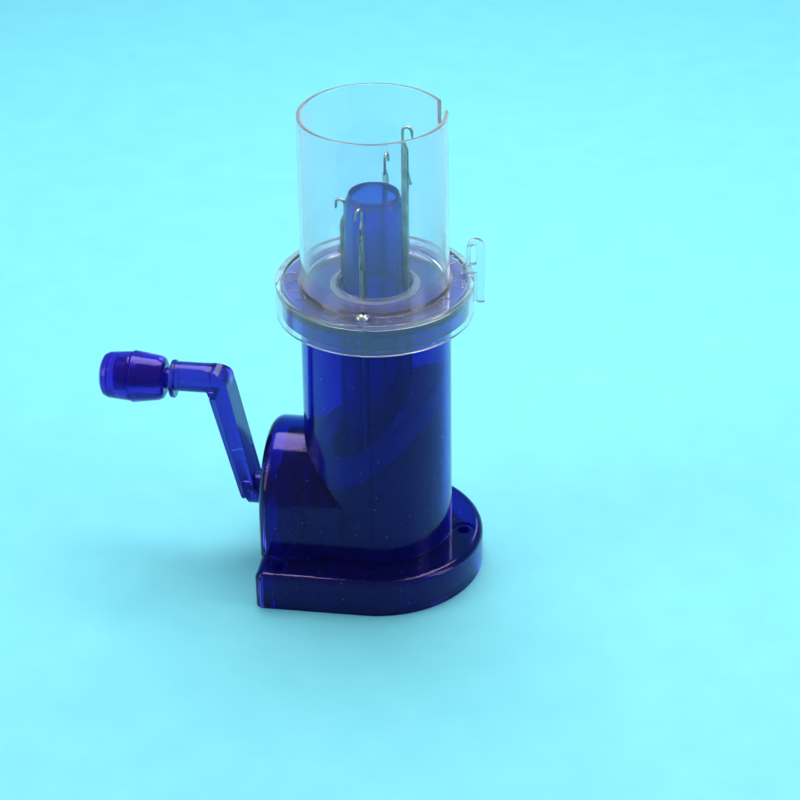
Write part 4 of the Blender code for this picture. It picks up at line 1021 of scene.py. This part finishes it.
def needle_shank():
    """Shank and butt in the plane through the column's axis; height 0 is the hook's top."""
    butt = -91.5 * MM
    butt_half = 2.75 * MM
    outline = [(SHANK_IN, -NEEDLE_LENGTH), (SHANK_OUT, -NEEDLE_LENGTH),
               (SHANK_OUT, butt - butt_half), (BUTT_OUT, butt - butt_half),
               (BUTT_OUT, butt + butt_half), (SHANK_OUT, butt + butt_half),
               (SHANK_OUT, -8.6 * MM), (11.1 * MM, -7.2 * MM), (10.6 * MM, -6.0 * MM),
               (STEM + 0.35 * MM, -4.9 * MM), (STEM - 0.35 * MM, -4.9 * MM),
               (9.32 * MM, -6.2 * MM), (SHANK_IN, -7.5 * MM)]
    shank = plate("shank", outline, -NEEDLE_WIDTH / 2, NEEDLE_WIDTH / 2, "Y")
    for vertex in shank.data.vertices:
        rise = (vertex.co.z + NARROW_FROM) / NARROW_OVER
        if rise > 0:
            vertex.co.y *= 1 - NARROW_SHARE * min(rise, 1.0)
    round_edges(shank, 0.22 * MM, 2, lambda place: True, 0.9)
    return shank


def pivot(name, degrees):
    """Place of a needle's rivet, which its latch turns on."""
    angle = math.radians(degrees)
    return (LATCH_RADIUS * math.cos(angle), LATCH_RADIUS * math.sin(angle),
            NEEDLE_TOPS[name] - LATCH_DROP)


def make_needle(name, degrees):
    """Shank with its butt, slot and rivet hole, and the hook on top."""
    twist = math.radians(HOOK_TWIST[name])
    shank = needle_shank()
    path = [(0, -6.6 * MM), (0, -5.0 * MM), (0, -3.0 * MM)]
    path += arc((BEND, -BEND - WIRE), BEND, 180, 0, 16)
    path += [(2 * BEND + 0.05 * MM, -2.6 * MM), (2 * BEND + 0.1 * MM, -3.3 * MM),
             (2 * BEND + 0.1 * MM, -3.7 * MM)]
    points = [(STEM + out * math.cos(twist), out * math.sin(twist), height)
              for out, height in path]
    tip_radii = [WIRE * 0.95, WIRE * 0.8, WIRE * 0.45]
    radii = [WIRE] * (len(points) - len(tip_radii)) + tip_radii
    join(shank, wire("hook", points, radii, 14))
    slot = box("slot", (7 * MM, -0.5 * MM, -21.0 * MM), (13 * MM, 0.5 * MM, -7.0 * MM))
    hole = rounds("hole", (RIVET_HOLE, -3 * MM, 3 * MM, (0, 0), 20), turn=(QUARTER_TURN, 0, 0),
                  place=(LATCH_RADIUS, 0, -LATCH_DROP))
    cut(shank, slot, hole)
    shank.location = (0, 0, NEEDLE_TOPS[name])
    shank.rotation_euler = (0, 0, math.radians(degrees))
    finish_piece(shank, "needle_" + name + "_piece", "needle_" + name, NEEDLE)


def make_rivet(name, degrees):
    """Pin through the needle's slot."""
    half = NEEDLE_WIDTH / 2
    inner = 0.2 * MM
    profile = [(0, half), (inner, half - 0.02 * MM), (RIVET_RADIUS, half - 0.12 * MM),
               (RIVET_RADIUS, 0.12 * MM - half), (inner, 0.02 * MM - half), (0, -half)]
    rivet = turned("rivet", profile, 20, turn=(QUARTER_TURN, 0, 0))
    rivet.rotation_euler = (0, 0, math.radians(degrees))
    rivet.location = pivot(name, degrees)
    finish_piece(rivet, "latch_rivet_" + name + "_piece", "needle_" + name, SCREW)


def make_latch(name, degrees):
    """Thin blade with an eye and a spoon tip, hanging open."""
    outline = arc((0, 0), 0.95 * MM, 20, 340, 24)
    outline += [(2.2 * MM, -0.34 * MM), (5.0 * MM, -0.28 * MM), (7.2 * MM, -0.34 * MM)]
    outline += arc((LATCH_LENGTH - 0.6 * MM, 0), 0.55 * MM, -90, 90, 10)
    outline += [(7.2 * MM, 0.34 * MM), (5.0 * MM, 0.28 * MM), (2.2 * MM, 0.34 * MM)]
    blade = plate("blade", outline, -LATCH_HALF, LATCH_HALF, "Y")
    cut(blade, rounds("eye", (RIVET_HOLE, -3 * MM, 3 * MM, (0, 0), 20), turn=(QUARTER_TURN, 0, 0)))
    round_edges(blade, 0.08 * MM, 2, lambda place: place.x > 2 * MM, 0.9)
    blade.data.transform(Matrix.Rotation(math.radians(90 - LATCH_HANG), 4, "Y"))
    blade.location = pivot(name, degrees)
    blade.rotation_euler = (0, 0, math.radians(degrees))
    finish_piece(blade, "latch_" + name + "_piece", "latch_" + name, NEEDLE)


for name, degrees in NEEDLES.items():
    make_needle(name, degrees)
    make_rivet(name, degrees)
    make_latch(name, degrees)


# --- stage, light and camera -----------------------------------------------------------------

STAGE_HALF = 5.0
SWEEP_START = 0.75
SWEEP_RADIUS = 0.5
SWEEP_TOP = 3.0
SWEEP_STEPS = 10
STAGE_DROP = 0.2 * MM
PAPER_DEEP = (0.18, 0.62, 0.73)
PAPER_LIGHT = (0.195, 0.65, 0.75)
GRAIN_SCALE = 60.0
FIBRE_SCALE = 900.0
AIM_HEIGHT = 0.07
WORLD_COLOUR = (0.62, 0.93, 1.0, 1.0)
WORLD_STRENGTH = 0.34

# Camera fitted to the photo: its axes, its roll in degrees and its place
CAMERA_LENS = 100.71
CAMERA_SENSOR = 36.0
CAMERA_BACK = (0.12258, -0.84502, 0.52050)
CAMERA_RIGHT = (0.98964, 0.14356, 0.0)
CAMERA_UP = (-0.07473, 0.51511, 0.85386)
CAMERA_ROLL = -0.692
CAMERA_PLACE = (COLUMN_X + 96.31 * MM, -612.69 * MM, 439.04 * MM)

# Name, place, size and watts of each softbox; all aim at the middle of the machine
SOFTBOXES = (("softbox_top", (0.05, 0.26, 0.80), (0.7, 0.5), 8.2),
             ("softbox_back", (0.22, 0.85, 0.60), (0.22, 0.16), 0.45),
             ("softbox_left", (-0.75, -0.35, 0.55), (0.4, 0.8), 3.3),
             ("softbox_right", (0.85, -0.15, 0.5), (0.3, 0.8), 2.6))


def stage_material():
    """Matt pale blue paper with a faint grain."""
    material = bpy.data.materials.new("paper")
    material.use_nodes = True
    tree = material.node_tree
    shader = tree.nodes["Principled BSDF"]
    coords = tree.nodes.new("ShaderNodeTexCoord").outputs["Object"]
    grain = noise(tree, coords, GRAIN_SCALE, 4.0)
    tree.links.new(mixed(tree, spread(tree, grain, 0.0, 1.0), PAPER_DEEP, PAPER_LIGHT),
                   shader.inputs["Base Color"])
    shader.inputs["Roughness"].default_value = 0.65
    fibre = node(tree, "ShaderNodeBump", Strength=0.05, Distance=0.0002)
    tree.links.new(noise(tree, coords, FIBRE_SCALE, 3.0), fibre.inputs["Height"])
    tree.links.new(fibre.outputs["Normal"], shader.inputs["Normal"])
    return material


def make_stage():
    """Paper sweep: a floor that curves up behind the object."""
    profile = [(-STAGE_HALF, 0.0)]
    profile += arc((SWEEP_START, SWEEP_RADIUS), SWEEP_RADIUS, -90, 0, SWEEP_STEPS)
    profile += [(SWEEP_START + SWEEP_RADIUS, SWEEP_TOP)]
    bm = bmesh.new()
    left = [bm.verts.new((-STAGE_HALF, y, z)) for y, z in profile]
    right = [bm.verts.new((STAGE_HALF, y, z)) for y, z in profile]
    for index in range(len(profile) - 1):
        face = bm.faces.new((left[index], right[index], right[index + 1], left[index + 1]))
        face.smooth = True
    mesh = mesh_of("floor", bm)
    floor = bpy.data.objects.new("floor", mesh)
    floor.location = (COLUMN_X, 0, -STAGE_DROP)
    bpy.context.scene.collection.objects.link(floor)
    mesh.materials.append(stage_material())


def add_light(name, place, size, power):
    """White rectangular area light that aims at the middle of the machine."""
    data = bpy.data.lights.new(name, "AREA")
    data.shape = "RECTANGLE"
    data.size, data.size_y = size
    data.energy = power
    light = bpy.data.objects.new(name, data)
    light.location = place
    aim = Vector((COLUMN_X, 0, AIM_HEIGHT))
    light.rotation_euler = (aim - Vector(place)).to_track_quat("-Z", "Y").to_euler()
    bpy.context.scene.collection.objects.link(light)


def make_world():
    """Even pale light from all round."""
    world = bpy.data.worlds.new("studio")
    bpy.context.scene.world = world
    world.use_nodes = True
    background = world.node_tree.nodes["Background"]
    background.inputs["Color"].default_value = WORLD_COLOUR
    background.inputs["Strength"].default_value = WORLD_STRENGTH


def make_camera():
    """Camera at the photo's viewing angle."""
    camera_data = bpy.data.cameras.new("camera")
    camera_data.lens = CAMERA_LENS
    camera_data.sensor_width = CAMERA_SENSOR
    camera_data.clip_start = 0.01
    camera_data.clip_end = 10.0
    camera = bpy.data.objects.new("camera", camera_data)
    back = Vector(CAMERA_BACK)
    right = Vector(CAMERA_RIGHT)
    up = Vector(CAMERA_UP)
    roll = math.radians(CAMERA_ROLL)
    across = math.cos(roll) * right + math.sin(roll) * up
    above = math.cos(roll) * up - math.sin(roll) * right
    place = Vector(CAMERA_PLACE)
    camera.matrix_world = Matrix(((across.x, above.x, back.x, place.x),
                                  (across.y, above.y, back.y, place.y),
                                  (across.z, above.z, back.z, place.z),
                                  (0, 0, 0, 1)))
    bpy.context.scene.collection.objects.link(camera)
    bpy.context.scene.camera = camera


make_stage()
for name, place, size, power in SOFTBOXES:
    add_light(name, place, size, power)
make_world()
make_camera()
bpy.context.scene.view_settings.view_transform = "Standard"

bpy.data.collections.remove(SCRATCH)
